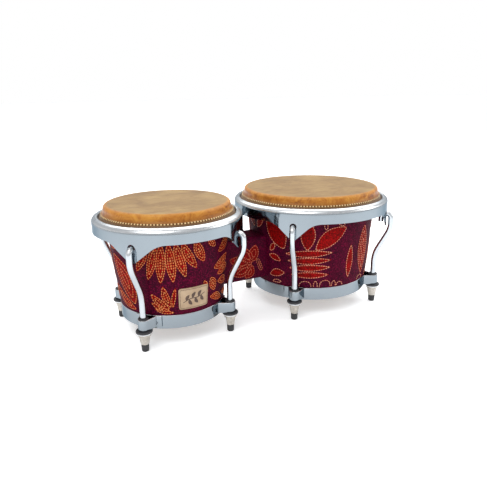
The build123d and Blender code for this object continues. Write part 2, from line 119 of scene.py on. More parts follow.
def side_of(node, axis_x):
    """Radius as a smooth function of height, fitted to the outside of a round CAD node."""
    points = np.array([v.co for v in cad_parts[node].data.vertices])
    radius = np.hypot(points[:, 0] - axis_x, points[:, 1])
    bands = np.round(points[:, 2] / MM).astype(int)
    levels = [b for b in np.unique(bands) if np.sum(bands == b) > 20]
    return np.polyfit([b * MM for b in levels], [radius[bands == b].max() for b in levels], 4)


class Drum:
    """One drum's places and sizes, read from the frame."""

    def __init__(self, name, block_side):
        self.name = name
        self.block_side = block_side
        rim_low, rim_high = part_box(f"{name}_rim")
        hoop_low, hoop_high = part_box(f"{name}_flesh_hoop")
        ring_low, ring_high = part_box(f"{name}_bottom_ring")
        nut_low, nut_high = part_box(f"{name}_tuning_nut_1")
        cover_low, cover_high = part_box(f"{name}_fabric_cover")
        rod_low, rod_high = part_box(f"{name}_tuning_rod_1")
        nut_middle = (nut_low + nut_high) / 2
        self.x = (rim_low.x + rim_high.x) / 2
        self.rim_radius = (rim_high.y - rim_low.y) / 2
        self.hoop_bar = (hoop_high.z - hoop_low.z) / 2
        self.hoop_radius = (hoop_high.y - hoop_low.y) / 2 - self.hoop_bar
        self.hoop_z = (hoop_low.z + hoop_high.z) / 2
        self.head_radius = self.hoop_radius - HOOP_OFFSET
        self.head_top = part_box(f"{name}_head")[1].z
        self.ring_radius = (ring_high.y - ring_low.y) / 2
        self.rod_circle = math.hypot(nut_middle.x - self.x, nut_middle.y)
        self.rod_heights = (rod_low.z, rod_high.z)
        self.cover_heights = (cover_low.z, cover_high.z)
        self.side = side_of(f"{name}_fabric_cover", self.x)
        self.middle_radius = self.cover_radius(sum(self.cover_heights) / 2)

    def node(self, part):
        return f"{self.name}_{part}"

    @property
    def hoop_body(self):
        return f"{self.name}_hoop_and_rods"

    def cover_radius(self, z):
        """Outside radius of the cloth at a height."""
        return np.polyval(self.side, z)

    def on_cover(self, u, z, lift):
        """Points on the cloth. u is a length round it from +X at mid height, and lift a height off it."""
        radius = self.cover_radius(z) + lift
        angle = u / self.middle_radius
        return np.stack([self.x + radius * np.cos(angle), radius * np.sin(angle), z + 0 * angle], axis=-1)

    def lug_point(self, angle, radius, across, z):
        """A point in a lug's own directions: out from the drum's axis, across, and up."""
        x = self.x + radius * math.cos(angle) - across * math.sin(angle)
        y = radius * math.sin(angle) + across * math.cos(angle)
        return (x, y, z)


MACHO = Drum("macho", 1)
HEMBRA = Drum("hembra", -1)
DRUMS = (MACHO, HEMBRA)


# ---------------------------------------------------------------- node materials
class Material:
    """A material with one Principled shader, and short ways to wire procedural nodes into it."""

    def __init__(self, name, **sockets):
        self.material = bpy.data.materials.new(name)
        self.material.use_nodes = True
        self.tree = self.material.node_tree
        self.shader = self.tree.nodes["Principled BSDF"]
        self.normal = None
        for socket, value in sockets.items():
            self.shader.inputs[socket.replace("_", " ")].default_value = value
        place = self.tree.nodes.new("ShaderNodeTexCoord")
        self.place = place.outputs["Object"]
        self.uv = place.outputs["UV"]

    def add(self, kind, **settings):
        node = self.tree.nodes.new(kind)
        for name, value in settings.items():
            setattr(node, name, value)
        return node

    def feed(self, node, **inputs):
        """Sets or links a node's inputs, by their place number, as in _0=..., or by name."""
        for key, value in inputs.items():
            socket = node.inputs[int(key[1:])] if key[1:].isdigit() else node.inputs[key.replace("_", " ")]
            if isinstance(value, bpy.types.NodeSocket):
                self.tree.links.new(value, socket)
            else:
                socket.default_value = value
        return node

    def math(self, operation, a, b=0.0, c=0.0):
        node = self.add("ShaderNodeMath", operation=operation)
        return self.feed(node, _0=a, _1=b, _2=c).outputs[0]

    def split(self, vector=None):
        """The x, y and z of a vector, which is the place on the object unless it is given."""
        node = self.add("ShaderNodeSeparateXYZ")
        self.feed(node, _0=vector or self.place)
        return node.outputs

    def join(self, x, y, z=0.0):
        return self.feed(self.add("ShaderNodeCombineXYZ"), _0=x, _1=y, _2=z).outputs[0]

    def scaled(self, factors, vector=None):
        node = self.add("ShaderNodeVectorMath", operation="MULTIPLY")
        return self.feed(node, _0=vector or self.place, _1=factors).outputs[0]

    def noise(self, scale, detail=3.0, roughness=0.5, distortion=0.0, vector=None):
        node = self.add("ShaderNodeTexNoise")
        self.feed(node, Vector=vector or self.place, Scale=scale, Detail=detail)
        self.feed(node, Roughness=roughness, Distortion=distortion)
        return node.outputs[0]

    def cells(self, scale, vector=None, feature="F1"):
        node = self.add("ShaderNodeTexVoronoi", feature=feature)
        return self.feed(node, Vector=vector or self.place, Scale=scale).outputs["Distance"]

    def random_of(self, value):
        node = self.add("ShaderNodeTexWhiteNoise", noise_dimensions="1D")
        return self.feed(node, W=value).outputs["Value"]

    def ramp(self, factor, *stops):
        """Colours or greys along a factor. A stop is (place, grey) or (place, (r, g, b))."""
        node = self.add("ShaderNodeValToRGB")
        elements = node.color_ramp.elements
        while len(elements) < len(stops):
            elements.new(0.5)
        for element, (place, colour) in zip(elements, stops):
            element.position = place
            element.color = (*colour, 1) if isinstance(colour, tuple) else (colour, colour, colour, 1)
        return self.feed(node, _0=factor).outputs[0]

    def span(self, value, low, high, to_low=0.0, to_high=1.0):
        """A value's place between low and high, held to the ends."""
        node = self.add("ShaderNodeMapRange", interpolation_type="SMOOTHSTEP")
        return self.feed(node, _0=value, _1=low, _2=high, _3=to_low, _4=to_high).outputs[0]

    def mix(self, factor, a, b):
        node = self.add("ShaderNodeMix", data_type="RGBA", blend_type="MIX")
        node.inputs[0].default_value = 1.0
        a, b = [(*c, 1) if isinstance(c, tuple) else c for c in (a, b)]
        return self.feed(node, _0=factor, _6=a, _7=b).outputs[2]

    def bump(self, height, distance, strength=1.0):
        """Adds relief to the surface, over any relief that is already there."""
        node = self.add("ShaderNodeBump")
        self.feed(node, Height=height, Distance=distance, Strength=strength)
        if self.normal:
            self.feed(node, Normal=self.normal)
        self.normal = node.outputs[0]
        self.feed(self.shader, Normal=self.normal)

    def colour(self, value):
        self.feed(self.shader, Base_Color=value)

    def rough(self, value):
        self.feed(self.shader, Roughness=value)


def turned_place(material, drum):
    """The place round a drum as (angle, height, radius)."""
    x, y, z = material.split()
    across = material.math("SUBTRACT", x, drum.x)
    angle = material.math("ARCTAN2", y, across)
    squares = material.math("ADD", material.math("POWER", across, 2.0), material.math("POWER", y, 2.0))
    radius = material.math("SQRT", squares)
    return angle, z, radius


def make_chrome(name, tint, roughness):
    """Polished plating with a painted reflection that makes it paler where it faces up, and with smears, wipe
    marks and slight waviness.
    """
    chrome = Material(name, Metallic=1.0, Roughness=roughness, Specular_Tint=(0.38, 0.43, 0.47, 1.0))
    cloud = chrome.noise(28, detail=4)
    plating = chrome.mix(cloud, tuple(c * 0.93 for c in tint), tuple(min(1, c * 1.06) for c in tint))
    facing = chrome.split(chrome.add("ShaderNodeNewGeometry").outputs["Normal"])
    upward_painted_reflection = chrome.span(facing[2], 0.06, 0.50)
    # Painted reflection: the colour is mixed towards pale grey where the surface faces up.
    chrome.colour(chrome.mix(upward_painted_reflection, plating, (0.62, 0.63, 0.64)))
    smear = chrome.noise(160, detail=6, roughness=0.65, distortion=0.4)
    wall_haze = chrome.span(smear, 0.3, 0.75, roughness * 0.75, roughness * 1.7)
    chrome.rough(chrome.math("MULTIPLY_ADD", upward_painted_reflection, 0.2, wall_haze))
    chrome.bump(chrome.noise(45, detail=1), 0.06 * MM)
    wipe = chrome.noise(1, detail=2, vector=chrome.scaled((900, 900, 60)))
    chrome.bump(wipe, 0.003 * MM)
    return chrome.material


def make_nickel():
    """Satin nickel on the tuning nuts, warmer and duller than the chrome."""
    nickel = Material("nut_nickel", Metallic=1.0)
    worn = nickel.noise(220, detail=5, roughness=0.6)
    nickel.colour(nickel.ramp(worn, (0.3, (0.36, 0.33, 0.29)), (0.7, (0.56, 0.53, 0.48))))
    nickel.rough(nickel.span(worn, 0.3, 0.7, 0.42, 0.26))
    nickel.bump(nickel.noise(1, detail=2, vector=nickel.scaled((400, 400, 2500))), 0.015 * MM)
    nickel.bump(nickel.noise(900, detail=2), 0.02 * MM)
    return nickel.material


def make_steel(name, colour):
    """Zinc-plated steel, with its soft spangle."""
    steel = Material(name, Metallic=1.0)
    spangle = steel.cells(420)
    steel.colour(steel.mix(spangle, tuple(c * 0.82 for c in colour), colour))
    steel.rough(steel.span(steel.noise(300, detail=4), 0.25, 0.75, 0.24, 0.46))
    steel.bump(steel.noise(700, detail=3), 0.02 * MM)
    return steel.material


def make_aluminium():
    """Sand-cast aluminium, grainy and matt."""
    cast = Material("saddle_aluminium", Metallic=1.0)
    grain = cast.noise(1400, detail=3, roughness=0.7)
    cast.colour(cast.ramp(grain, (0.25, (0.42, 0.43, 0.44)), (0.75, (0.62, 0.63, 0.64))))
    cast.rough(cast.span(grain, 0.2, 0.8, 0.5, 0.68))
    cast.bump(grain, 0.12 * MM)
    return cast.material


def make_rubber(name, colour):
    """Moulded black rubber, with a dusty bloom."""
    rubber = Material(name)
    bloom = rubber.noise(240, detail=5, roughness=0.65)
    rubber.colour(rubber.mix(bloom, colour, tuple(c * 2.4 + 0.004 for c in colour)))
    rubber.rough(rubber.span(bloom, 0.3, 0.7, 0.45, 0.72))
    rubber.bump(rubber.noise(1600, detail=2), 0.03 * MM)
    return rubber.material


def bead_count(drum):
    """How many small beads the ridge round a head's foot is gathered into."""
    return round(TURN * drum.head_radius / BEAD_PITCH)


def make_rawhide(drum):
    """Waxed hide: pale tan and dry on top and amber down the collar, with a painted highlight along the
    shoulder, painted shade darkening the collar towards the rim, painted highlights and shade on its beads,
    and painted shade below them.
    """
    hide = Material(f"rawhide_{drum.name}", Coat_Weight=0.05, Specular_IOR_Level=0.16)
    hide.shader.inputs["Coat Roughness"].default_value = 0.3
    angle, z, radius = turned_place(hide, drum)
    cloud = hide.noise(22, detail=5, roughness=0.6, distortion=0.5)
    streak = hide.noise(1, detail=4, vector=hide.scaled((26, 120, 60)))
    fleck = hide.noise(420, detail=3, roughness=0.7)
    tans = ((0.32, (0.185, 0.102, 0.030)), (0.5, (0.262, 0.158, 0.052)), (0.68, (0.325, 0.21, 0.075)))
    top = hide.ramp(cloud, *tans)
    top = hide.mix(hide.span(streak, 0.35, 0.7, 0.0, 0.45), top, (0.195, 0.100, 0.027))
    blotch = hide.noise(75, detail=6, roughness=0.72)
    top = hide.mix(hide.span(blotch, 0.48, 0.7, 0.0, 0.45), top, (0.165, 0.080, 0.020))
    side_cloud = hide.noise(46, detail=7, roughness=0.72, distortion=1.3)
    ambers = ((0.34, (0.125, 0.032, 0.005)), (0.48, (0.35, 0.118, 0.013)), (0.66, (0.50, 0.225, 0.034)))
    side = hide.ramp(side_cloud, *ambers)
    below = hide.math("SUBTRACT", drum.head_top, z)
    # Painted highlight: the side is lightened just under the top, along the rounded shoulder.
    side = hide.mix(hide.span(below, 4.5 * MM, 1.0 * MM, 0.0, 0.25), side, (0.60, 0.30, 0.07))
    edge = hide.math("ADD", below, hide.math("MULTIPLY", hide.math("SUBTRACT", cloud, 0.5), 1.5 * MM))
    skin = hide.mix(hide.span(edge, 0.1 * MM, 1.9 * MM), top, side)
    inward = hide.math("SUBTRACT", drum.head_radius, radius)
    wander = hide.math("MULTIPLY_ADD", side_cloud, 9 * MM, inward)
    skin = hide.mix(hide.span(wander, 12.0 * MM, 7.0 * MM, 0.0, 0.85), skin, side)
    # Painted shade: the collar darkens as it goes down towards the rim.
    foot = hide.span(below, 5.5 * MM, BEAD_DROP - 0.8 * MM, 0.0, 0.6)
    skin = hide.mix(foot, skin, (0.19, 0.075, 0.018))
    beads = hide.math("SINE", hide.math("MULTIPLY", angle, bead_count(drum)))
    past_bead = hide.math("DIVIDE", hide.math("SUBTRACT", below, BEAD_DROP), 1.1 * MM)
    bead = hide.math("SUBTRACT", 1.0, hide.math("ABSOLUTE", past_bead))
    # Painted highlight and shade on the beads: pale where each bead bulges out, dark between them.
    bead_painted_light = hide.mix(hide.span(beads, -0.3, 0.4), (0.085, 0.036, 0.012), (0.66, 0.47, 0.22))
    skin = hide.mix(hide.span(bead, 0.1, 0.5), skin, bead_painted_light)
    # Painted shade: below the beads, where the hide tucks under the rim, it is darker.
    skin = hide.mix(hide.span(below, BEAD_DROP + 0.9 * MM, BEAD_DROP + 1.6 * MM), skin, (0.15, 0.085, 0.040))
    hide.colour(hide.mix(hide.span(fleck, 0.62, 0.8, 0.0, 0.3), skin, (0.30, 0.13, 0.04)))
    hide.rough(hide.span(below, 0.5 * MM, 3 * MM, 0.52, 0.36))
    hide.bump(cloud, 0.25 * MM, 0.5)
    hide.bump(fleck, 0.05 * MM)
    hide.bump(hide.cells(900), 0.03 * MM)
    return hide.material


def weave(cloth, u, v, pitch):
    """Height of a plain weave at a place on the cloth, from 0 to 1."""
    warp = cloth.math("SINE", cloth.math("MULTIPLY", u, TURN / pitch))
    weft = cloth.math("SINE", cloth.math("MULTIPLY", v, TURN / pitch))
    over = cloth.math("MULTIPLY", warp, weft)
    return cloth.math("MULTIPLY_ADD", over, 0.5, 0.5)


def make_cloth(name, dark, light, place):
    """Lacquered cotton, with painted shade in the hollows of its weave. The place is a function that gives
    its two directions as lengths.
    """
    cloth = Material(name, Roughness=0.55, Coat_Weight=0.03, Coat_Roughness=0.2, Specular_IOR_Level=0.04)
    u, v = place(cloth)
    threads = weave(cloth, u, v, THREAD_PITCH)
    dye = cloth.noise(34, detail=6, roughness=0.62, distortion=0.7)
    slub_place = cloth.join(cloth.math("MULTIPLY", u, 90), cloth.math("MULTIPLY", v, 1500))
    slub = cloth.noise(1, detail=3, vector=slub_place)
    ground = cloth.ramp(dye, (0.32, dark), (0.7, light))
    brighter = tuple(min(1, c * 1.6) for c in light)
    ground = cloth.mix(cloth.span(slub, 0.45, 0.75, 0.0, 0.35), ground, brighter)
    fleck = cloth.noise(520, detail=2, roughness=0.6)
    brightest = tuple(min(1, c * 2.3) for c in light)
    ground = cloth.mix(cloth.span(fleck, 0.52, 0.66, 0.0, 0.75), ground, brightest)
    ground = cloth.mix(cloth.span(fleck, 0.46, 0.34, 0.0, 0.75), ground, tuple(c * 0.35 for c in dark))
    # Painted shade: the low parts of the weave are darkened towards a deeper tone of the dark colour.
    cloth.colour(cloth.mix(cloth.span(threads, 0.0, 0.6, 0.3, 1.0), tuple(c * 0.55 for c in dark), ground))
    cloth.rough(cloth.span(threads, 0.0, 1.0, 0.85, 0.6))
    cloth.bump(threads, 0.09 * MM, 0.7)
    cloth.bump(slub, 0.05 * MM, 0.5)
    return cloth.material


def round_place(drum):
    """Lengths round a drum and up it. Each way holds a whole number of threads round the drum."""
    count = round(TURN * drum.middle_radius / THREAD_PITCH)

    def place(cloth):
        angle, z, _ = turned_place(cloth, drum)
        return cloth.math("MULTIPLY", angle, count * THREAD_PITCH / TURN), z

    return place


def block_place(cloth):
    """Lengths along the block and round it."""
    x, y, z = cloth.split()
    return x, cloth.math("ADD", cloth.math("ABSOLUTE", y), z)


def make_thread(name, dark, light):
    """Twisted embroidery thread, with painted shade in the grooves of its twist. A stitch's UV runs along it
    and round it.
    """
    thread = Material(name, Coat_Weight=0.08, Coat_Roughness=0.3, Specular_IOR_Level=0.2)
    u, v, _ = thread.split(thread.uv)
    lay = thread.math("ADD", thread.math("MULTIPLY", u, 5 * TURN), thread.math("MULTIPLY", v, TURN))
    twist = thread.math("MULTIPLY_ADD", thread.math("SINE", lay), 0.5, 0.5)
    worn = thread.noise(140, detail=3)
    tone = thread.mix(thread.span(worn, 0.3, 0.7), dark, light)
    # Painted shade: the grooves of the twist are darkened.
    thread.colour(thread.mix(thread.math("MULTIPLY", twist, 0.75), tuple(c * 0.5 for c in dark), tone))
    thread.rough(thread.span(twist, 0.0, 1.0, 0.7, 0.45))
    thread.bump(twist, 0.12 * MM)
    return thread.material


def make_leather(name, dark, light):
    """Pale vegetable-tanned leather, for the badge."""
    leather = Material(name, Coat_Weight=0.15, Coat_Roughness=0.25)
    cloud = leather.noise(60, detail=6, roughness=0.65)
    pores = leather.cells(1500)
    leather.colour(leather.ramp(cloud, (0.3, dark), (0.68, light)))
    leather.rough(leather.span(cloud, 0.3, 0.7, 0.62, 0.45))
    leather.bump(pores, 0.06 * MM)
    leather.bump(cloud, 0.15 * MM, 0.5)
    return leather.material


def make_stave_wood(drum):
    """Oiled hardwood staves side by side, with long grain and a dark glue line at each joint."""
    wood = Material(f"shell_wood_{drum.name}", Coat_Weight=0.1, Coat_Roughness=0.35)
    angle, z, radius = turned_place(wood, drum)
    count = 14 if drum is MACHO else 17
    stave = wood.math("MULTIPLY", wood.math("ADD", angle, math.pi), count / TURN)
    tone = wood.random_of(wood.math("FLOOR", stave))
    shift = wood.math("MULTIPLY", tone, 7.0)
    length = wood.math("MULTIPLY", z, 9)
    inward = wood.math("MULTIPLY", radius, 160)
    grain_place = wood.join(wood.math("MULTIPLY", stave, 5), wood.math("ADD", length, shift), inward)
    grain = wood.noise(2.2, detail=7, roughness=0.62, distortion=0.8, vector=grain_place)
    browns = ((0.3, (0.20, 0.10, 0.045)), (0.52, (0.36, 0.205, 0.10)), (0.75, (0.47, 0.29, 0.155)))
    base = wood.ramp(grain, *browns)
    toned = wood.mix(wood.math("MULTIPLY", tone, 0.45), base, (0.24, 0.11, 0.05))
    fraction = wood.math("FRACT", stave)
    joint = wood.math("ABSOLUTE", wood.math("SUBTRACT", fraction, 0.5))
    glue = wood.span(joint, 0.485, 0.5)
    wood.colour(wood.mix(glue, toned, (0.055, 0.028, 0.014)))
    wood.rough(wood.span(grain, 0.3, 0.7, 0.6, 0.42))
    wood.bump(grain, 0.18 * MM, 0.6)
    wood.bump(wood.math("SUBTRACT", 1.0, glue), 0.25 * MM)
    return wood.material


def make_block_wood():
    """Hardwood like the staves', with its grain along the block."""
    wood = Material("block_wood", Roughness=0.5)
    grain = wood.noise(2.4, detail=7, roughness=0.6, distortion=0.7, vector=wood.scaled((14, 130, 130)))
    wood.colour(wood.ramp(grain, (0.3, (0.27, 0.15, 0.07)), (0.7, (0.50, 0.33, 0.18))))
    wood.rough(wood.span(grain, 0.3, 0.7, 0.62, 0.46))
    wood.bump(grain, 0.15 * MM)
    return wood.material


CHROME = make_chrome("hardware_chrome", (0.262, 0.301, 0.332), 0.09)
ROD_CHROME = make_chrome("rod_chrome", (0.52, 0.555, 0.585), 0.12)
WASHER_STEEL = make_steel("washer_steel", (0.72, 0.74, 0.76))
FASTENER_STEEL = make_steel("fastener_steel", (0.55, 0.57, 0.58))
HOOP_STEEL = make_steel("hoop_steel", (0.45, 0.46, 0.47))
NICKEL = make_nickel()
ALUMINIUM = make_aluminium()
BUSHING_RUBBER = make_rubber("bushing_rubber", (0.012, 0.012, 0.014))
FOOT_RUBBER = make_rubber("foot_rubber", (0.009, 0.009, 0.010))
BADGE_LEATHER = make_leather("badge_leather", (0.31, 0.200, 0.112), (0.43, 0.305, 0.190))
BADGE_INK = make_leather("badge_ink", (0.045, 0.020, 0.012), (0.085, 0.040, 0.022))
BLOCK_WOOD = make_block_wood()
GROUND = ((0.026, 0.0004, 0.009), (0.080, 0.0007, 0.015))
APPLIED = ((0.095, 0.0007, 0.001), (0.235, 0.0018, 0.0018))
THREADS = {
    "macho": make_thread("macho_thread", (0.84, 0.18, 0.035), (1.0, 0.50, 0.18)),
    "hembra": make_thread("hembra_thread", (0.88, 0.26, 0.140), (1.0, 0.56, 0.36)),
    "block": make_thread("block_thread", (0.66, 0.12, 0.06), (0.86, 0.28, 0.14)),
    "badge": make_thread("badge_thread", (0.060, 0.024, 0.014), (0.14, 0.06, 0.035)),
}


# ---------------------------------------------------------------- mesh helpers
def make_piece(name, points, faces, material, uvs=None, sharp=40):
    """A smooth-shaded mesh object, with creases where its faces turn more than an angle in degrees."""
    mesh = bpy.data.meshes.new(name)
    mesh.from_pydata(np.asarray(points, float).reshape(-1, 3).tolist(), [], faces)
    mesh.polygons.foreach_set("use_smooth", [True] * len(mesh.polygons))
    mesh.set_sharp_from_angle(angle=math.radians(sharp))
    if uvs is not None:
        corners = np.empty(len(mesh.loops), int)
        mesh.loops.foreach_get("vertex_index", corners)
        layer = mesh.uv_layers.new(name="UVMap")
        layer.data.foreach_set("uv", np.asarray(uvs, float)[corners].ravel())
    mesh.materials.append(material)
    piece = bpy.data.objects.new(name, mesh)
    bpy.context.scene.collection.objects.link(piece)
    return piece


def finish_node(node, material):
    """Gives a CAD node that stays a detailed material."""
    for material_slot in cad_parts[node].material_slots:
        material_slot.material = material


def quads(rows, columns, wrap_rows=False, wrap_columns=False, start=0):
    """Faces of a grid of points, given row by row."""
    faces = []
    for i in range(rows if wrap_rows else rows - 1):
        below = start + (i + 1) % rows * columns
        here = start + i * columns
        for j in range(columns if wrap_columns else columns - 1):
            k = (j + 1) % columns
            faces.append((here + j, here + k, below + k, below + j))
    return faces


def tube_faces(rows, columns):
    """Faces of a tube of rings, with both its ends closed."""
    faces = quads(rows, columns, wrap_columns=True)
    faces.append(tuple(reversed(range(columns))))
    faces.append(tuple(range((rows - 1) * columns, rows * columns)))
    return faces


def directions(path):
    """Unit steps along an open path, and the same turned a quarter to the left."""
    tangents = np.gradient(path, axis=0)
    tangents /= np.linalg.norm(tangents, axis=1)[:, None]
    return tangents, np.stack([-tangents[:, 1], tangents[:, 0]], axis=1)


def rounded(points, radii, closed=False, turn=math.radians(10)):
    """A path through flat points, with an arc of the given radius at each corner, or none where it is 0."""
    points = [Vector(p) for p in points]
    path = []
    for i, (corner, radius) in enumerate(zip(points, radii)):
        if radius == 0 or (not closed and i in (0, len(points) - 1)):
            path.append(corner)
            continue
        before = (points[i - 1] - corner).normalized()
        after = (points[(i + 1) % len(points)] - corner).normalized()
        half = before.angle(after) / 2
        centre = corner + (before + after).normalized() * (radius / math.sin(half))
        first = corner + before * (radius / math.tan(half)) - centre
        last = corner + after * (radius / math.tan(half)) - centre
        sweep = math.pi - 2 * half
        steps = max(2, math.ceil(sweep / turn))
        for k in range(steps + 1):
            a, b = math.sin((1 - k / steps) * sweep), math.sin(k / steps * sweep)
            path.append(centre + (first * a + last * b) / math.sin(sweep))
    return np.array([tuple(p) for p in path])


def even(path, step, closed=False):
    """A path cut into equal steps of about the given length."""
    path = np.asarray(path, float)
    if closed:
        path = np.vstack([path, path[:1]])
    reach = np.concatenate([[0], np.cumsum(np.linalg.norm(np.diff(path, axis=0), axis=1))])
    count = max(3, int(round(reach[-1] / step)))
    places = np.linspace(0, reach[-1], count + 1)
    found = np.stack([np.interp(places, reach, path[:, k]) for k in range(path.shape[1])], axis=1)
    return found[:-1] if closed else found


def turned(profile, columns, centre=(0.0, 0.0), wobble=None):
    """Points of a closed profile of (radius, height) turned round an upright axis, and their faces."""
    profile = np.asarray(profile, float)
    angles = np.arange(columns) * TURN / columns
    radius = np.repeat(profile[:, :1], columns, axis=1)
    if wobble is not None:
        radius = radius + wobble(profile, angles)
    x = centre[0] + radius * np.cos(angles)
    y = centre[1] + radius * np.sin(angles)
    z = np.repeat(profile[:, 1:], columns, axis=1)
    faces = quads(len(profile), columns, wrap_rows=True, wrap_columns=True)
    return np.stack([x, y, z], axis=-1).reshape(-1, 3), faces


def joined(parts):
    """Several (points, faces) as one."""
    points, faces, start = [], [], 0
    for part_points, part_faces in parts:
        points.append(part_points)
        faces += [tuple(start + v for v in face) for face in part_faces]
        start += len(part_points)
    return np.vstack(points), faces


def closed_sheet(outer, inner, faces):
    """A thin solid from an open sheet's faces, its outer and inner points, and walls along its edges."""
    count = len(outer)
    seen = {}
    for face in faces:
        for a, b in zip(face, face[1:] + face[:1]):
            seen[(a, b)] = True
    walls = [(b, a, a + count, b + count) for a, b in seen if (b, a) not in seen]
    back = [tuple(v + count for v in reversed(face)) for face in faces]
    return np.vstack([outer, inner]), list(faces) + back + walls


# ---------------------------------------------------------------- stage, light and camera
CAMERA_LENS = 37.17             # on a 36 mm sensor
CAMERA_DISTANCE = 0.7765
CAMERA_TARGET = (-0.0097, 0.0, 0.1067)
CAMERA_TURNS = (26.70, 16.475, -0.933)    # azimuth, elevation and roll in degrees


def make_camera():
    """The camera stands where the pair is seen over the small drum's front, from a little above."""
    data = bpy.data.cameras.new("camera")
    data.lens = CAMERA_LENS
    data.sensor_width = 36.0
    data.clip_start, data.clip_end = 0.01, 100
    camera = bpy.data.objects.new("camera", data)
    bpy.context.scene.collection.objects.link(camera)
    azimuth, elevation, roll = (math.radians(a) for a in CAMERA_TURNS)
    ahead = Vector((
        math.sin(azimuth) * math.cos(elevation),
        math.cos(azimuth) * math.cos(elevation),
        -math.sin(elevation),
    ))
    right = Vector((math.cos(azimuth), -math.sin(azimuth), 0))
    up = right.cross(ahead)
    tilted_right = right * math.cos(roll) + up * math.sin(roll)
    tilted_up = tilted_right.cross(ahead)
    target = Vector(CAMERA_TARGET)
    place = target - ahead * CAMERA_DISTANCE
    turn = Matrix((tilted_right, tilted_up, -ahead)).transposed().to_4x4()
    camera.matrix_world = Matrix.Translation(place) @ turn
    bpy.context.scene.camera = camera


def make_floor():
    """A wide plain floor."""
    half = 40.0
    mesh = bpy.data.meshes.new("floor")
    corners = [(-half, -half, 0), (half, -half, 0), (half, half, 0), (-half, half, 0)]
    mesh.from_pydata(corners, [], [(0, 1, 2, 3)])
    floor = bpy.data.objects.new("floor", mesh)
    bpy.context.scene.collection.objects.link(floor)
    plain = Material("floor_white", Roughness=0.85)
    speckle = plain.noise(60, detail=3)
    plain.colour(plain.mix(speckle, (0.86, 0.86, 0.87), (0.90, 0.90, 0.90)))
    plain.feed(plain.shader, Emission_Color=(1.0, 1.0, 1.0, 1.0), Emission_Strength=0.42)
    mesh.materials.append(plain.material)


def make_world():
    """A white surround low down, greyer and a little cooler higher up."""
    world = bpy.data.worlds.new("studio")
    bpy.context.scene.world = world
    world.use_nodes = True
    tree = world.node_tree
    background = tree.nodes["Background"]
    place = tree.nodes.new("ShaderNodeTexCoord")
    split = tree.nodes.new("ShaderNodeSeparateXYZ")
    ramp = tree.nodes.new("ShaderNodeValToRGB")
    tree.links.new(place.outputs["Generated"], split.inputs[0])
    tree.links.new(split.outputs[2], ramp.inputs[0])
    tree.links.new(ramp.outputs[0], background.inputs["Color"])
    white = (1.0, 1.0, 1.0)
    stops = ((0.0, white), (0.22, white), (0.5, (0.62, 0.64, 0.66)), (1.0, (0.55, 0.57, 0.59)))
    elements = ramp.color_ramp.elements
    while len(elements) < len(stops):
        elements.new(0.5)
    for element, (height, colour) in zip(elements, stops):
        element.position = height
        element.color = (*colour, 1)
    background.inputs["Strength"].default_value = 1.0


def make_light(name, place, target, size, power, colour=(1, 1, 1)):
    """A rectangular lamp aimed at a place."""
    data = bpy.data.lights.new(name, "AREA")
    data.shape = "RECTANGLE"
    data.size, data.size_y = size
    data.energy = power
    data.color = colour
    light = bpy.data.objects.new(name, data)
    bpy.context.scene.collection.objects.link(light)
    light.location = place
    light.rotation_euler = (Vector(target) - Vector(place)).to_track_quat("-Z", "Y").to_euler()


def make_stage():
    """Plain colour output, the camera, the floor, the surround and three soft lamps."""
    scene = bpy.context.scene
    scene.view_settings.view_transform = "Standard"
    scene.view_settings.look = "None"
    make_camera()
    make_floor()
    make_world()
    make_light("key", (-0.9, -0.8, 1.6), (0, 0, 0.1), (1.2, 0.9), 16)
    make_light("top", (0.45, 0.75, 1.5), (0, 0, 0.1), (2.6, 1.5), 34)
    make_light("side", (1.5, -0.7, 0.9), (0, 0, 0.1), (0.8, 0.8), 6)


# ---------------------------------------------------------------- heads
def head_profile(drum):
    """The hide's section: over the top, down the collar, round the flesh hoop, and back up inside."""
    radius, top = drum.head_radius, drum.head_top
    wrap = drum.hoop_bar + SKIN
    collar_z = top - COLLAR_DROP
    foot = (drum.hoop_radius - wrap * 0.30, drum.hoop_z + wrap * 0.954)
    outside = rounded(
        ((0, top), (radius, top), (radius, collar_z), foot),
        (0, SKIN_SHOULDER, COLLAR_BEND, 0),
        turn=math.radians(7),
    )
    inside = rounded(
        (
            (drum.hoop_radius - wrap * 0.985, drum.hoop_z + wrap * 0.17),
            (radius - SKIN, collar_z - SKIN / 3),
            (radius - SKIN, top - SKIN),
            (0, top - SKIN),
        ),
        (0, COLLAR_BEND, SKIN_SHOULDER - SKIN, 0),
        turn=math.radians(9),
    )
    wrap_angles = np.radians(np.arange(100, -180, -10))
    tuck_radii = drum.hoop_radius + wrap * np.cos(wrap_angles)
    tuck = np.stack([tuck_radii, drum.hoop_z + wrap * np.sin(wrap_angles)], axis=1)
    return outside, tuck, inside


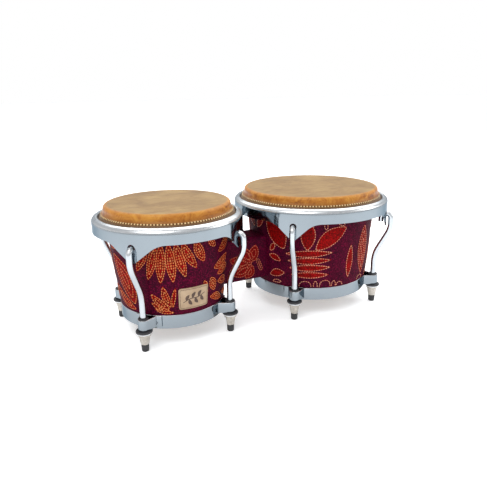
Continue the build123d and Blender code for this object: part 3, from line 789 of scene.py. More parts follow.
def make_head(drum):
    """A hide with a slightly uneven face and shoulder, and puckers that grow down the collar."""
    outside, tuck, inside = head_profile(drum)
    outside = even(outside[1:], 0.6 * MM)
    ridge = (outside[:, 1] - drum.head_top + BEAD_DROP) / BEAD_SIZE
    outside[:, 0] += BEAD_SIZE * np.exp(-(ridge ** 2))
    beads = bead_count(drum)
    rings = np.linspace(0.6 * MM, drum.head_radius - SKIN_SHOULDER, 26)
    face = np.array([(r, drum.head_top) for r in rings[:-1]])
    ceiling = np.array([(r, drum.head_top - SKIN) for r in rings[::-1][1:]])
    profile = np.vstack([face, outside, tuck, inside[:-1], ceiling])
    count = 1080
    chance = random.Random(5)
    puckers = round(TURN * drum.head_radius / PUCKER_PITCH)
    waves = [(chance.randint(2, 9), chance.uniform(0, TURN)) for _ in range(5)]
    slow = [(chance.randint(11, 41), chance.uniform(0, TURN)) for _ in range(6)]

    def wobble(section, angles):
        below = drum.head_top - section[:, 1:]
        share = np.clip((below - 8 * MM) / (4 * MM), 0, 1)
        gathered = np.exp(-(((below - BEAD_DROP) / BEAD_SIZE) ** 2)) * np.sin(beads * angles) * BEAD_SIZE / 3
        uneven = sum(np.sin(n * angles + p) for n, p in slow) / 6
        crease = np.abs(np.cos((puckers * angles + 3 * uneven) / 2)) ** 0.7
        body = sum(np.sin(n * angles + p) for n, p in waves) / 5
        on_side = np.clip(section[:, :1] / drum.head_radius, 0, 1) ** 8
        pucker = share * (crease - 0.8) * 0.4 * MM * (1 + 0.5 * uneven)
        return (gathered + pucker + body * 0.15 * MM) * on_side

    points, faces = turned(profile, count, (drum.x, 0), wobble)
    last = len(profile) - 1
    faces = [f for f in faces if not (max(f) >= last * count and min(f) < count)]
    faces.append(tuple(reversed(range(count))))
    faces.append(tuple(range(last * count, (last + 1) * count)))
    flipped = [tuple(reversed(f)) for f in faces]
    head = make_piece(drum.node("head_skin"), points, flipped, make_rawhide(drum))
    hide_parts(drum.node("head"))
    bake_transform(head)


# ---------------------------------------------------------------- tuning rods, nuts and feet
def rod_route(drum):
    """A rod's centre line as (radius, height): hook, S-bend, and straight down into its nut."""
    low, high = drum.rod_heights
    bar = rod_bar(drum)
    middle = drum.rim_radius - RIM_SHEET / 2
    top = high - bar
    return rounded(
        (
            (middle - HOOK, top - HOOK_LEG),
            (middle - HOOK, top),
            (middle + HOOK, top),
            (middle + HOOK, ROD_BEND_HEIGHTS[1]),
            (drum.rod_circle, ROD_BEND_HEIGHTS[0]),
            (drum.rod_circle, low),
        ),
        (0, HOOK - 0.02 * MM, HOOK - 0.02 * MM, ROD_BEND_RADII[1], ROD_BEND_RADII[0], 0),
        turn=math.radians(5),
    )


def rod_bar(drum):
    """A rod's own radius, from how wide its box is in the lug's directions."""
    points = np.array([v.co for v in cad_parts[drum.node("tuning_rod_1")].data.vertices])
    angle = LUG_ANGLES[0]
    across = -(points[:, 0] - drum.x) * math.sin(angle) + points[:, 1] * math.cos(angle)
    return (across.max() - across.min()) / 2


def flat_tube(route, radius, end_rounding, columns=32):
    """A round bar along a flat path. Gives (along, side, up) points, with both ends rounded over."""
    tangents, normals = directions(route)
    arcs = np.radians([90, 67, 45, 22])
    middles, normal_rows, sizes = list(route), list(normals), [radius] * len(route)
    for end, way in ((0, -1), (-1, 1)):
        inner = route[end] - way * tangents[end] * end_rounding
        caps = [inner + way * tangents[end] * end_rounding * math.sin(a) for a in arcs]
        cap_sizes = [radius - end_rounding + end_rounding * math.cos(a) for a in arcs]
        cap_normals = [normals[end]] * len(arcs)
        if way < 0:
            middles = caps + [inner] + middles[1:]
            normal_rows = cap_normals + normal_rows
            sizes = cap_sizes + sizes
        else:
            middles = middles[:-1] + [inner] + caps[::-1]
            normal_rows = normal_rows + cap_normals
            sizes = sizes + cap_sizes[::-1]
    middles, normal_rows, sizes = np.array(middles), np.array(normal_rows), np.array(sizes)
    angles = np.arange(columns) * TURN / columns
    flat = middles[:, None, :] + normal_rows[:, None, :] * (sizes[:, None] * np.cos(angles))[:, :, None]
    side = sizes[:, None] * np.sin(angles)
    return flat.reshape(-1, 2), side.ravel(), tube_faces(len(middles), columns)


def make_rods(drum):
    """Round bars bent to a hook and an S."""
    route = even(rod_route(drum), 1.2 * MM)
    flat, side, faces = flat_tube(route, rod_bar(drum), 0.9 * MM)
    for number, angle in enumerate(LUG_ANGLES, start=1):
        points = [drum.lug_point(angle, r, s, z) for (r, z), s in zip(flat, side)]
        rod = make_piece(drum.node(f"hooked_rod_{number}"), points, faces, ROD_CHROME)
        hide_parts(drum.node(f"tuning_rod_{number}"))
        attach(rod, drum.hoop_body)


def nut_rings(low, high, top_radius, bore):
    """Rings of (height, round radius, hexagon's half width) up a flanged nut's outside and down its bore."""
    small, large = NUT_HEXAGON
    neck = high - NUT_FLANGE
    return (
        (low, small * 0.80, small),
        (low + 0.05 * MM, small * 0.92, small),
        (low + 0.5 * MM, small * 1.02, small * 1.01),
        (low + 1.3 * MM, small * NUT_CORNER, small * 1.02),
        ((low + neck) / 2, large * NUT_CORNER, (small + large) / 2),
        (neck - 0.6 * MM, large * NUT_CORNER, large),
        (neck - 0.15 * MM, large * NUT_CORNER, large * 1.02),
        (neck, top_radius - 0.9 * MM, top_radius * 2),
        (neck + 0.12 * MM, top_radius - 0.35 * MM, top_radius * 2),
        (neck + 0.5 * MM, top_radius, top_radius * 2),
        (high - 0.6 * MM, top_radius, top_radius * 2),
        (high - 0.2 * MM, top_radius - 0.2 * MM, top_radius * 2),
        (high, top_radius - 0.7 * MM, top_radius * 2),
        (high, bore + 0.5 * MM, top_radius * 2),
        (high - 0.5 * MM, bore, top_radius * 2),
        (low + 3.2 * MM, bore, top_radius * 2),
        (low + 0.2 * MM, bore, top_radius * 2),
    )


def make_nuts(drum):
    """Flanged nuts with a tapered hexagon, each with its corners eased and its foot's end chamfered."""
    columns = 96
    angles = np.arange(columns) * TURN / columns
    for number, lug in enumerate(LUG_ANGLES, start=1):
        low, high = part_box(drum.node(f"tuning_nut_{number}"))
        rings = nut_rings(low.z, high.z, NUT_FLANGE_RADIUS, rod_bar(drum) + ROD_FIT)
        turn = lug + math.radians(30)
        faces_of_hexagon = turn + np.arange(6) * TURN / 6
        toward = np.clip(np.cos(angles[:, None] - faces_of_hexagon), 0, 1)
        spread = (toward ** 26).sum(axis=1) ** (1 / 26)
        points = []
        for z, round_radius, half_width in rings:
            radius = np.minimum(half_width / spread, round_radius)
            centre = drum.lug_point(lug, drum.rod_circle, 0, z)
            x, y = centre[0] + radius * np.cos(angles), centre[1] + radius * np.sin(angles)
            points.append(np.stack([x, y, z + 0 * angles], axis=1))
        faces = quads(len(rings), columns, wrap_rows=True, wrap_columns=True)
        name = drum.node(f"hex_nut_{number}")
        nut = make_piece(name, np.vstack(points), faces, NICKEL, sharp=50)
        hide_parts(drum.node(f"tuning_nut_{number}"))
        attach(nut, f"{drum.name}_nut_{number}")


def make_feet(drum):
    """Moulded rubber feet with a rounded sole and a small bead below the nut."""
    for number, lug in enumerate(LUG_ANGLES, start=1):
        low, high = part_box(drum.node(f"nut_foot_{number}"))
        nut_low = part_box(drum.node(f"tuning_nut_{number}"))[0].z
        profile = rounded(
            (
                (0.3 * MM, low.z),
                (FOOT_TIP_RADIUS, low.z),
                (5.22 * MM, nut_low - 1.6 * MM),
                (FOOT_RADIUS, nut_low),
                (FOOT_PLUG_RADIUS, nut_low),
                (FOOT_PLUG_RADIUS, high.z),
                (0.3 * MM, high.z),
            ),
            (0, 1.5 * MM, 1.0 * MM, 0.4 * MM, 0.1 * MM, 0.3 * MM, 0),
        )
        centre = drum.lug_point(lug, drum.rod_circle, 0, 0)
        points, faces = turned(profile, 48, centre)
        foot = make_piece(drum.node(f"rubber_foot_{number}"), points, faces, FOOT_RUBBER)
        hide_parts(drum.node(f"nut_foot_{number}"))
        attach(foot, f"{drum.name}_nut_{number}")


def lug_rounds(drum, profile, columns=64):
    """The same closed profile turned round all four rods of a drum."""
    middles = [drum.lug_point(lug, drum.rod_circle, 0, 0) for lug in LUG_ANGLES]
    return joined([turned(profile, columns, middle) for middle in middles])


def make_bushings(drum):
    """Rubber bushings with a wide flange below the bracket and a lip above it."""
    low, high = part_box(drum.node("rod_bushings"))
    strap_low, strap_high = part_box(drum.node("lug_brackets"))
    bore = rod_bar(drum) + ROD_FIT
    profile = rounded(
        (
            (bore, low.z),
            (BUSHING_FLANGE_RADIUS, low.z),
            (BUSHING_FLANGE_RADIUS, strap_low.z - FIT_GAP),
            (BUSHING_RADIUS, strap_low.z - FIT_GAP),
            (BUSHING_RADIUS, strap_high.z + FIT_GAP),
            (BUSHING_LIP_RADIUS, strap_high.z + FIT_GAP),
            (BUSHING_LIP_RADIUS, high.z),
            (bore, high.z),
        ),
        (0.2 * MM, 1.1 * MM, 0.9 * MM, 0.2 * MM, 0.2 * MM, 0.6 * MM, 0.9 * MM, 0.4 * MM),
        closed=True,
    )
    points, faces = lug_rounds(drum, profile)
    bushings = make_piece(drum.node("rubber_bushings"), points, faces, BUSHING_RUBBER)
    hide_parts(drum.node("rod_bushings"))
    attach(bushings, "root")


def make_washers(drum):
    """Flat washers with eased edges, one above each nut."""
    low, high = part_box(drum.node("nut_washers"))
    bore = rod_bar(drum) + ROD_FIT + FIT_GAP
    edge = 0.45 * MM
    profile = rounded(
        ((bore, low.z), (WASHER_RADIUS, low.z), (WASHER_RADIUS, high.z), (bore, high.z)),
        (edge, edge, edge, edge),
        closed=True,
    )
    points, faces = lug_rounds(drum, profile)
    washers = make_piece(drum.node("bright_washers"), points, faces, WASHER_STEEL)
    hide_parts(drum.node("nut_washers"))
    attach(washers, "root")


# ---------------------------------------------------------------- lug brackets
def strap_route(drum):
    """Half of a bracket's centre line as (out, across), from its wing's end to the front of the loop."""
    ring = drum.ring_radius + STRAP / 2
    loop = STRAP_LOOP + STRAP / 2
    foot = (ring * math.cos(STRAP_FOOT / ring), STRAP_FOOT - STRAP / 2)
    away = Vector(foot) - Vector((drum.rod_circle, 0))
    touch = math.atan2(away.y, away.x) - math.acos(loop / away.length)
    wing_angles = np.linspace(STRAP_WING / ring, foot[1] / ring, 5)
    wing = [(ring * math.cos(a), ring * math.sin(a)) for a in wing_angles]
    loop_angles = np.linspace(touch, 0, 14)
    front = [(drum.rod_circle + loop * math.cos(a), loop * math.sin(a)) for a in loop_angles]
    return rounded([*wing, *front], [0, 0, 0, 0, 1.6 * MM] + [0] * len(front))


def make_brackets(drum):
    """Straps bent round the rods, with rolled edges."""
    low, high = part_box(drum.node("lug_brackets"))
    half = strap_route(drum)
    route = np.vstack([half, half[-2::-1] * (1, -1)])
    left = directions(route)[1]
    edge = 0.7 * MM
    thick = STRAP / 2
    section = rounded(
        ((-thick, low.z), (thick, low.z), (thick, high.z), (-thick, high.z)),
        (edge, edge, edge, edge),
        closed=True,
        turn=math.radians(20),
    )
    parts = []
    for lug in LUG_ANGLES:
        points = []
        for middle, leftward in zip(route, left):
            for off, z in section:
                out, across = middle - leftward * off
                points.append(drum.lug_point(lug, out, across, z))
        parts.append((np.array(points), tube_faces(len(route), len(section))))
    points, faces = joined(parts)
    brackets = make_piece(drum.node("bracket_straps"), points, faces, CHROME)
    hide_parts(drum.node("lug_brackets"))
    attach(brackets, "root")


# ---------------------------------------------------------------- cloth covers
class BlockSide:
    """The outside of the block's cloth as a flat place: x along the block, and a length round it."""

    def __init__(self):
        low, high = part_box("center_block")
        front, back = low.y - CLOTH, high.y + CLOTH
        floor, top = low.z - CLOTH, high.z + CLOTH
        corner = BLOCK_ROUNDING + CLOTH
        middle = (low.z + high.z) / 2
        corners = ((front, middle), (front, top), (back, top), (back, floor), (front, floor))
        path = even(rounded(corners, (0, corner, corner, corner, corner), closed=True), 1.2 * MM, closed=True)
        before, after = np.roll(path, 1, axis=0), np.roll(path, -1, axis=0)
        tangents = (after - before) / np.linalg.norm(after - before, axis=1)[:, None]
        self.path = path
        self.normals = np.stack([-tangents[:, 1], tangents[:, 0]], axis=1)
        ring = np.vstack([path, path[:1]])
        self.reach = np.concatenate([[0], np.cumsum(np.linalg.norm(np.diff(ring, axis=0), axis=1))])
        self.length = self.reach[-1]

    def ends(self, y, z):
        """Where the cloth meets the two drums' covers."""
        tuck = CLOTH / 2
        start = MACHO.x + np.sqrt((MACHO.cover_radius(z) - tuck) ** 2 - y ** 2)
        end = HEMBRA.x - np.sqrt((HEMBRA.cover_radius(z) - tuck) ** 2 - y ** 2)
        return start, end

    def place(self, x, around, lift):
        """Points on the cloth. The length round it starts at the middle of the front and goes up."""
        around = np.mod(around, self.length)
        ring = np.vstack([self.path, self.path[:1]])
        ring_normals = np.vstack([self.normals, self.normals[:1]])
        y, z = (np.interp(around, self.reach, ring[:, k]) for k in (0, 1))
        normal_y, normal_z = (np.interp(around, self.reach, ring_normals[:, k]) for k in (0, 1))
        return np.stack([x + 0 * around, y + normal_y * lift, z + normal_z * lift], axis=-1)


def make_cover(drum):
    """Cloth pulled round the shell and cut out under the end of the centre block."""
    block_low, block_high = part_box("center_block")
    cut_across = block_high.y - CUT_INSET
    cut_low, cut_high = block_low.z + CUT_INSET, block_high.z - CUT_INSET
    low, high = drum.cover_heights
    rows_below, rows_beside, rows_above = 5, 30, 20
    heights = np.concatenate([
        np.linspace(low, cut_low, rows_below, endpoint=False),
        np.linspace(cut_low, cut_high, rows_beside, endpoint=False),
        np.linspace(cut_high, high, rows_above),
    ])
    columns_at_cut, columns_round = 16, 208
    radius = drum.cover_radius(heights)[:, None]
    half = np.arcsin(cut_across / radius)
    facing_block = 0 if drum.block_side > 0 else math.pi
    at_cut = facing_block - half + 2 * half * np.arange(columns_at_cut) / columns_at_cut
    round_it = facing_block + half + (TURN - 2 * half) * np.arange(columns_round) / columns_round
    angles = np.concatenate([at_cut, round_it], axis=1)
    sheets = []
    for depth in (0, CLOTH):
        x, y = drum.x + (radius - depth) * np.cos(angles), (radius - depth) * np.sin(angles)
        sheets.append(np.stack([x, y, heights[:, None] + 0 * angles], axis=-1).reshape(-1, 3))
    columns = columns_at_cut + columns_round
    faces = []
    for place, face in enumerate(quads(len(heights), columns, wrap_columns=True)):
        row, column = divmod(place, columns)
        in_cut = rows_below <= row < rows_below + rows_beside and column < columns_at_cut
        if not in_cut:
            faces.append(face)
    points, faces = closed_sheet(*sheets, faces)
    material = make_cloth(drum.node("ground"), *GROUND, round_place(drum))
    cover = make_piece(drum.node("cloth_cover"), points, faces, material)
    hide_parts(drum.node("fabric_cover"))
    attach(cover, "root")
    return cover


def make_sleeve(side):
    """Cloth wrapped round the block, its ends on the drums' covers."""
    y, z = side.path[:, 0], side.path[:, 1]
    start, end = side.ends(y, z)
    shares = np.linspace(0, 1, 36)[:, None]
    x = start + (end - start) * shares
    sheets = []
    for depth in (0, CLOTH):
        row = side.path - side.normals * depth
        y, z = np.broadcast_to(row[:, 0], x.shape), np.broadcast_to(row[:, 1], x.shape)
        sheets.append(np.stack([x, y, z], axis=-1).reshape(-1, 3))
    faces = [tuple(reversed(f)) for f in quads(len(x), x.shape[1], wrap_columns=True)]
    points, faces = closed_sheet(*sheets, faces)
    material = make_cloth("block_ground", *GROUND, block_place)
    sleeve = make_piece("center_block_sleeve", points, faces, material)
    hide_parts("center_block_cover")
    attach(sleeve, "root")
    return sleeve


# ---------------------------------------------------------------- outlines of leaves, bands and stems
def curve(points):
    """A smooth open path through flat points."""
    points = np.asarray(points, float)
    ring = np.vstack([2 * points[0] - points[1], points, 2 * points[-1] - points[-2]])
    t = (np.arange(12) / 12)[:, None]
    path = []
    for a, b, c, d in zip(ring, ring[1:], ring[2:], ring[3:]):
        bend = 2 * a - 5 * b + 4 * c - d
        path.append((2 * b + (c - a) * t + bend * t**2 + (3 * (b - c) + d - a) * t**3) / 2)
    path.append(points[-1:])
    return np.vstack(path)


def band(points, half_widths):
    """A band along a smooth path with round ends. The half widths are spread evenly along it."""
    path = even(curve(points), 1.0 * MM)
    tangents, left = directions(path)
    shares = np.linspace(0, 1, len(path))
    half = np.interp(shares, np.linspace(0, 1, len(half_widths)), half_widths)[:, None]
    arc = np.linspace(0, math.pi, 9)[1:-1, None]
    last_cap = path[-1] + half[-1] * (-left[-1] * np.cos(arc) + tangents[-1] * np.sin(arc))
    first_cap = path[0] + half[0] * (left[0] * np.cos(arc) - tangents[0] * np.sin(arc))
    return np.vstack([path - left * half, last_cap, (path + left * half)[::-1], first_cap])


def leaf(base, tip, half_width, bend=0.0, blunt=0.75):
    """A pointed leaf, with its spine bent to the left by a length."""
    base, tip = np.array(base, float), np.array(tip, float)
    along = tip - base
    left = np.array([-along[1], along[0]]) / np.linalg.norm(along)
    t = np.linspace(0, 1, 41)[:, None]
    spine = base + along * t + left * bend * np.sin(math.pi * t)
    half = half_width * np.sin(math.pi * t) ** blunt
    return np.vstack([(spine - left * half)[:-1], (spine + left * half)[:0:-1]])


def inset(outline, distance):
    """A closed outline moved inward. Points that would fold over are left out."""
    step = np.roll(outline, -1, axis=0) - np.roll(outline, 1, axis=0)
    step /= np.linalg.norm(step, axis=1)[:, None] + 1e-12
    moved = outline + np.stack([-step[:, 1], step[:, 0]], axis=1) * distance
    gaps = np.linalg.norm(moved[:, None] - outline[None], axis=2).min(axis=1)
    return moved[gaps > distance * 0.96]


def wound_left(outline):
    """The outline, turned round if need be so that its inside is on the left."""
    x, y = outline[:, 0], outline[:, 1]
    area = np.sum(x * np.roll(y, -1) - np.roll(x, -1) * y)
    return outline if area > 0 else outline[::-1]


class Motif:
    """An applied patch, its rows of stitches, and rows that stand alone. Lengths are in metres."""

    def __init__(self, outline, rows=1, spacing=2.7 * MM, lines=(), patch=True):
        self.outline = even(wound_left(outline), 0.9 * MM, closed=True)
        self.patch = patch
        self.rows = []
        for row in range(rows):
            path = inset(self.outline, 0.75 * MM + row * spacing)
            if len(path) < 12:
                break
            self.rows.append((path, True))
        self.rows += [(line, False) for line in lines]

    def moved(self, flip, shift=(0, 0)):
        """A copy with each direction multiplied by 1 or -1, and then shifted."""
        twin = copy.copy(self)
        twin.outline = wound_left(self.outline * flip + shift)
        twin.rows = [(row * flip + shift, closed) for row, closed in self.rows]
        return twin


# ---------------------------------------------------------------- patches and stitches
def patch_mesh(motif, surface):
    """A thin solid patch with a rolled edge, drawn down a little along its stitches."""
    outline = motif.outline
    low, high = outline.min(axis=0), outline.max(axis=0)
    pitch = 1.3 * MM
    x, y = np.meshgrid(np.arange(low[0], high[0], pitch), np.arange(low[1], high[1], pitch))
    x[::2] += pitch / 2
    grid = np.stack([x.ravel(), y.ravel()], axis=1)
    gaps = np.linalg.norm(grid[:, None] - outline[None], axis=2).min(axis=1)
    flat = np.vstack([outline, inset(outline, 0.22 * MM), inset(outline, 0.55 * MM), grid[gaps > 1.1 * MM]])
    count = len(outline)
    edges = [(i, (i + 1) % count) for i in range(count)]
    found = delaunay_2d_cdt([Vector(p) for p in flat], edges, [], 1, 1e-7)
    used = sorted({v for face in found[2] for v in face})
    renumber = {v: i for i, v in enumerate(used)}
    faces = [tuple(renumber[v] for v in face) for face in found[2]]
    flat = np.array([tuple(found[0][v]) for v in used])
    edge_gaps = np.linalg.norm(flat[:, None] - outline[None], axis=2).min(axis=1)
    roll = 1 - np.clip(edge_gaps / (0.7 * MM), 0, 1)
    lift = PATCH * np.sqrt(1 - roll**2) + 0.02 * MM
    seams = [even(row, 1.0 * MM, closed) for row, closed in motif.rows]
    if seams:
        seam_gaps = np.linalg.norm(flat[:, None] - np.vstack(seams)[None], axis=2).min(axis=1)
        lift -= 0.22 * MM * np.exp(-((seam_gaps / (0.8 * MM)) ** 2)) * np.clip(edge_gaps / (0.5 * MM), 0, 1)
    outer = surface(flat[:, 0], flat[:, 1], lift)
    inner = surface(flat[:, 0], flat[:, 1], -0.15 * MM)
    return closed_sheet(outer, inner, faces)


def make_patches(name, surface, motifs, material):
    """All the patches of some motifs as one piece."""
    points, faces = joined([patch_mesh(m, surface) for m in motifs if m.patch])
    patches = make_piece(name, points, faces, material)
    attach(patches, "root")
    return patches


def stitch_solid(rounds):
    """Faces of one stitch made of rings of points, and the UV of each point."""
    uv = [((a + 0.5), k / rounds) for a in STITCH_ALONG for k in range(rounds)]
    return np.array(uv), tube_faces(len(STITCH_ALONG), rounds)


def make_stitching(name, surface, rows, thread, size=1.0, lift=0.12 * MM):
    """A short bar of thread for each stitch of the rows, arched, with its ends down in the cloth."""
    rounds = 7
    uv, faces = stitch_solid(rounds)
    pitch = STITCH_PITCH * size
    chance = random.Random(11)
    middles, ways = [], []
    for row, closed in rows:
        knots = even(row, pitch, closed)
        if closed:
            knots = np.vstack([knots, knots[:1]])
        middles.append((knots[1:] + knots[:-1]) / 2)
        ways.append(knots[1:] - knots[:-1])
    middles, ways = np.vstack(middles), np.vstack(ways)
    lengths = np.linalg.norm(ways, axis=1)[:, None]
    ways = ways / lengths
    turn = np.array([chance.gauss(0, 0.07) for _ in middles])
    cos, sin = np.cos(turn), np.sin(turn)
    ways = np.stack([ways[:, 0] * cos - ways[:, 1] * sin, ways[:, 0] * sin + ways[:, 1] * cos], axis=1)
    sides = np.stack([-ways[:, 1], ways[:, 0]], axis=1)
    spread = np.array([chance.uniform(0.88, 1.1) for _ in middles])[:, None, None]
    along = np.array(STITCH_ALONG)[None, :, None]
    girth = np.array(STITCH_GIRTH)[None, :, None]
    angles = (np.arange(rounds) * TURN / rounds - math.pi / 2)[None, None, :]
    out = STITCH_WIDTH / 2 * size * girth * np.cos(angles) * spread
    forward = along * lengths[:, :, None] * STITCH_SHARE + 0 * out
    rise = STITCH_HEIGHT * size * (girth * (0.5 + 0.5 * np.sin(angles)) - 0.25) * spread + lift
    u = middles[:, 0, None, None] + ways[:, 0, None, None] * forward + sides[:, 0, None, None] * out
    v = middles[:, 1, None, None] + ways[:, 1, None, None] * forward + sides[:, 1, None, None] * out
    points = surface(u.ravel(), v.ravel(), rise.ravel())
    per_stitch = len(uv)
    starts = range(0, len(points), per_stitch)
    all_faces = [tuple(start + k for k in face) for start in starts for face in faces]
    uvs = np.tile(uv, (len(middles), 1))
    stitching = make_piece(name, points, all_faces, thread, uvs=uvs, sharp=80)
    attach(stitching, "root")
    return stitching


# ---------------------------------------------------------------- what is sewn on, and where
def at(drum, *places):
    """Places given as (angle in degrees, height in millimetres), as lengths on a drum's cloth."""
    found = [(math.radians(angle) * drum.middle_radius, height * MM) for angle, height in places]
    return found if len(found) > 1 else found[0]


def macho_motifs():
    """Leaves hanging over the upper front, a fan of them beside the badge, and large ones at the sides."""

    def here(*places):
        return at(MACHO, *places)

    def petal(base, tip, half, bend=0.0, rows=2, spacing=2.7 * MM):
        return Motif(leaf(here(base), here(tip), half * MM, bend * MM), rows, spacing)

    return [
        petal((-129, 150), (-142, 108), 6.0, 2.0, rows=3),
        petal((-121, 150), (-131, 97), 6.2, 1.0, rows=3),
        petal((-116, 150), (-119, 92), 6.6, 0.0, rows=3),
        petal((-110, 150), (-107, 93), 6.8, 0.0, rows=3),
        petal((-104, 150), (-95, 99), 6.8, -1.0, rows=3),
        petal((-98, 150), (-84, 110), 6.4, -2.0, rows=3),
        petal((-86, 150), (-76, 117), 7.0, -1.0, rows=3),
        petal((-72, 150), (-62, 134), 5.0, -1.0),
        petal((-108.8, 56), (-105.2, 87), 3.2, 0.8),
        petal((-110.5, 57), (-117.5, 89.5), 5.4, 1.8),
        petal((-111.5, 55), (-130, 78), 5.6, 2.4),
        petal((-111, 52.2), (-131, 66), 3.8, 2.6),
        petal((-107, 49.8), (-128, 56), 3.0, 1.6),
        petal((-149.5, 58), (-174, 126), 17.0, -5.0, rows=3, spacing=6.2 * MM),
        petal((-149, 50.5), (-178.5, 78), 7.5, 5.0, rows=2, spacing=3.6 * MM),
        petal((-156, 148.5), (-178, 133), 5.6, 1.0),
        petal((-67.5, 91), (-60.5, 69), 7.4, 1.0, rows=3),
        petal((-64, 103), (-36, 114), 8.0, -2.0, rows=3, spacing=3.0 * MM),
        petal((-57.5, 92), (-32, 95), 7.4, 2.0, rows=3, spacing=3.0 * MM),
        petal((-56, 80), (-33, 72), 6.6, 2.0, rows=3, spacing=3.0 * MM),
        petal((-67.5, 62), (-46, 51.5), 6.0, 2.0, rows=3, spacing=2.4 * MM),
        petal((-71, 78), (-76, 90), 3.6, 0.6),
        petal((-70, 74), (-77, 66), 3.4, -0.6),
        petal((-46, 59), (-28, 53), 5.0, 1.0),
        petal((-58, 124), (-32, 147), 9.0, -2.0, rows=3, spacing=3.2 * MM),
        petal((-28, 142), (-14, 128), 6.0, 1.0),
    ]


HUMP_FOOT = 47.6                # height of the scallops' feet, in millimetres
HUMPS = (                       # middle and half width in degrees, and top in millimetres
    (-127, 5.6, 57), (-117.5, 1.8, 58), (-108.5, 5.2, 58.5), (-100, 2.0, 57), (-94, 3.2, 54),
    (-66, 4.4, 55), (-50, 3.8, 56), (-36, 5.2, 57), (-20, 4.4, 56),
)


def hembra_motifs():
    """Leaves fanned over a stack of long ones, two tall leaves beside them, and a row of scallops below."""

    def here(*places):
        return at(HEMBRA, *places)

    def petal(base, tip, half, bend=0.0, rows=1, spacing=4.4 * MM, patch=True):
        return Motif(leaf(here(base), here(tip), half * MM, bend * MM), rows, spacing, patch=patch)

    def across(*places):
        return curve(here(*places))

    humps = []
    for middle, half_width, top in HUMPS:
        turns = np.linspace(0, math.pi, 9)
        rise = top - HUMP_FOOT
        places = [(middle - half_width * math.cos(t), HUMP_FOOT + rise * math.sin(t) ** 0.7) for t in turns]
        arc = across(*places)
        humps.append(Motif(arc, 0, lines=[arc], patch=False))
    return [
        petal((-146, 99.5), (-102.5, 102.5), 5.6, 0.0),
        petal((-144, 88.5), (-103.5, 91), 5.4, 0.0),
        petal((-142.5, 77.5), (-104, 79.5), 5.4, 0.0),
        petal((-141, 66.5), (-105, 67.5), 5.2, 0.0),
        petal((-146, 106), (-163.5, 149), 15.0, -3.0),
        petal((-125.5, 106), (-124.5, 152), 11.0, 0.0),
        petal((-118.5, 107), (-90.8, 140), 12.4, 3.0),
        petal((-85, 57), (-84, 111), 6.4, 0.0),
        petal((-64.5, 57), (-67, 137), 13.0, 1.0, rows=3, spacing=4.6 * MM),
        petal((-110.5, 149.5), (-109.5, 136.5), 3.4, 0.0, patch=False),
        petal((-101, 149.5), (-92, 142.5), 3.4, 0.0, patch=False),
        petal((-161, 99), (-155.5, 114), 4.6, 0.0),
        petal((-163, 93), (-149.5, 86), 5.4, 1.4),
        petal((-163, 60), (-146, 68), 6.6, 2.0),
        petal((-161, 49.5), (-149, 51.5), 3.2, 1.4, patch=False),
        petal((-178, 131), (-168, 149), 6.0, 1.0),
        petal((-46, 62), (-40, 112), 9.0, 3.0, rows=2),
        petal((-47, 124), (-30, 147), 8.6, -2.0, rows=2),
        petal((-33, 66), (-23, 104), 9.0, -3.0, rows=2),
        petal((-21, 112), (-8, 140), 9.0, 2.0, rows=2),
        petal((-16, 62), (-6, 98), 7.4, 2.0, rows=2),
        *humps,
    ]


def block_motifs():
    """Petals spread over the front of the block."""
    middle = (MACHO.x + MACHO.middle_radius + HEMBRA.x - HEMBRA.middle_radius) / 2
    heart = (middle + 12 * MM, -8 * MM)
    spread = ((160, 46, 10.0), (122, 42, 10.0), (85, 38, 9.0), (205, 42, 9.0), (240, 32, 8.0))
    petals = []
    for degrees, length, half in spread:
        angle = math.radians(degrees)
        base = (heart[0] + 3 * MM * math.cos(angle), heart[1] + 3 * MM * math.sin(angle))
        reach = length * 0.95 * MM
        rise = length * 0.78 * MM
        tip = (heart[0] + reach * math.cos(angle), heart[1] + rise * math.sin(angle))
        petals.append(Motif(leaf(base, tip, half * MM, 2 * MM), 2, 4.4 * MM))
    berry_ends = [(heart[0] + 7 * MM, heart[1] + 4 * MM), (heart[0] + 12 * MM, heart[1] - 10 * MM)]
    berry = band(berry_ends, [3.6 * MM] * 2)
    petals.append(Motif(berry, 2, 2.6 * MM, patch=False))
    return petals


def dress_drum(drum, motifs):
    """The cover of a drum with its patches and stitches."""
    every = motifs + [m.moved((-1, 1)) for m in motifs]
    cover = make_cover(drum)
    applied = make_cloth(drum.node("applied"), *APPLIED, round_place(drum))
    patches = make_patches(drum.node("cover_patches"), drum.on_cover, every, applied)
    rows = [row for motif in every for row in motif.rows]
    name, thread = drum.node("cover_stitching"), THREADS[drum.name]
    stitching = make_stitching(name, drum.on_cover, rows, thread)
    low, high = drum.cover_heights
    slant = math.hypot(high - low, drum.cover_radius(high) - drum.cover_radius(low))
    shell = drum.node("shell")


def dress_block():
    """The sleeve of the block with its patches and stitches."""
    side = BlockSide()
    sleeve = make_sleeve(side)
    motifs = block_motifs()
    every = motifs + [m.moved((1, -1), (0, side.length / 2)) for m in motifs]
    applied = make_cloth("block_applied", *APPLIED, block_place)
    patches = make_patches("block_patches", side.place, every, applied)
    rows = [row for motif in every for row in motif.rows]
    stitching = make_stitching("block_stitching", side.place, rows, THREADS["block"])


# ---------------------------------------------------------------- badge
def stamped(shape, surface):
    """A shape standing a little off the badge's face, with its back sunk in it."""
    outline = even(wound_left(shape), 0.45 * MM, closed=True)
    count = len(outline)
    edges = [(i, (i + 1) % count) for i in range(count)]
    found = delaunay_2d_cdt([Vector(p) for p in outline], edges, [], 1, 1e-8)
    flat = np.array([tuple(v) for v in found[0]])
    faces = [tuple(face) for face in found[2]]
    outer = surface(flat[:, 0], flat[:, 1], 0.14 * MM)
    inner = surface(flat[:, 0], flat[:, 1], -0.3 * MM)
    return closed_sheet(outer, inner, faces)


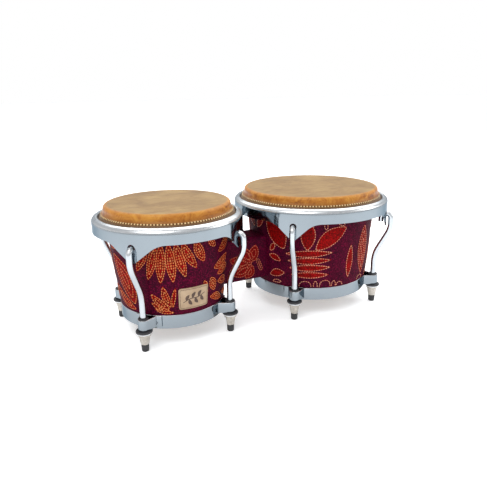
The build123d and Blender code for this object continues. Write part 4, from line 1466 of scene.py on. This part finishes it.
def make_badge():
    """A leather badge bent to the drum, sewn round its edge and stamped with a leafy sprig only."""
    low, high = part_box("macho_badge")
    middle_z = (low.z + high.z) / 2
    middle_u = math.radians(BADGE_ANGLE) * MACHO.middle_radius
    half_width = BADGE_WIDTH / 2 * MACHO.middle_radius / MACHO.cover_radius(middle_z)
    half_height = (high.z - low.z) / 2
    corner = 3.5 * MM
    corners = [(sx * half_width, sy * half_height) for sx, sy in ((-1, -1), (1, -1), (1, 1), (-1, 1))]
    outline = rounded(corners, (corner,) * 4, closed=True) + (middle_u, middle_z)
    plate = Motif(outline, rows=0)

    def surface(u, z, lift):
        stretched = np.where(np.asarray(lift) > 0, lift * BADGE_THICKNESS / PATCH, lift)
        return MACHO.on_cover(u, z, stretched)

    points, faces = patch_mesh(plate, surface)
    badge = make_piece("macho_leather_badge", points, faces, BADGE_LEATHER)
    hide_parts("macho_badge")
    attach(badge, "root")

    def top(u, z, lift):
        return MACHO.on_cover(u, z, lift + BADGE_THICKNESS)

    border = inset(plate.outline, 2.0 * MM)
    rows = [(border, True)]
    sewing = make_stitching("macho_badge_stitching", top, rows, THREADS["badge"], 0.55)
    stem_places = [(-16, -5.0), (-6, -0.5), (5, 0.0), (16, 4.5)]
    stem = [(middle_u + across * MM, middle_z + up * MM) for across, up in stem_places]
    shapes = [band(stem, [0.5 * MM, 0.7 * MM, 0.5 * MM])]
    leaves = ((-12, -3.2, 1), (-8, -1.2, -1), (-3, -0.2, 1), (1, 0.0, -1), (6, 0.4, 1), (10, 1.8, -1))
    for across, up, way in leaves:
        base = (middle_u + across * MM, middle_z + up * MM)
        tip = (base[0] + 4.5 * MM, base[1] + way * 8.6 * MM)
        shapes.append(leaf(base, tip, 2.4 * MM, way * 0.9 * MM))
    parts = [stamped(shape, top) for shape in shapes]
    points, faces = joined(parts)
    sprig = make_piece("macho_badge_sprig", points, faces, BADGE_INK)
    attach(sprig, "root")


# ---------------------------------------------------------------- everything together
make_stage()
for each_drum in DRUMS:
    make_head(each_drum)
    make_rods(each_drum)
    make_nuts(each_drum)
    make_feet(each_drum)
    make_bushings(each_drum)
    make_washers(each_drum)
    make_brackets(each_drum)
    finish_node(each_drum.node("shell"), make_stave_wood(each_drum))
    finish_node(each_drum.node("flesh_hoop"), HOOP_STEEL)
    finish_node(each_drum.node("rim"), CHROME)
    finish_node(each_drum.node("bottom_ring"), CHROME)
    finish_node(each_drum.node("saddle_plate"), ALUMINIUM)
finish_node("center_block", BLOCK_WOOD)
dress_drum(MACHO, macho_motifs())
dress_drum(HEMBRA, hembra_motifs())
dress_block()
make_badge()
for fastener in ("block_bolts", "block_bolt_washers", "block_bolt_nuts"):
    finish_node(fastener, FASTENER_STEEL)
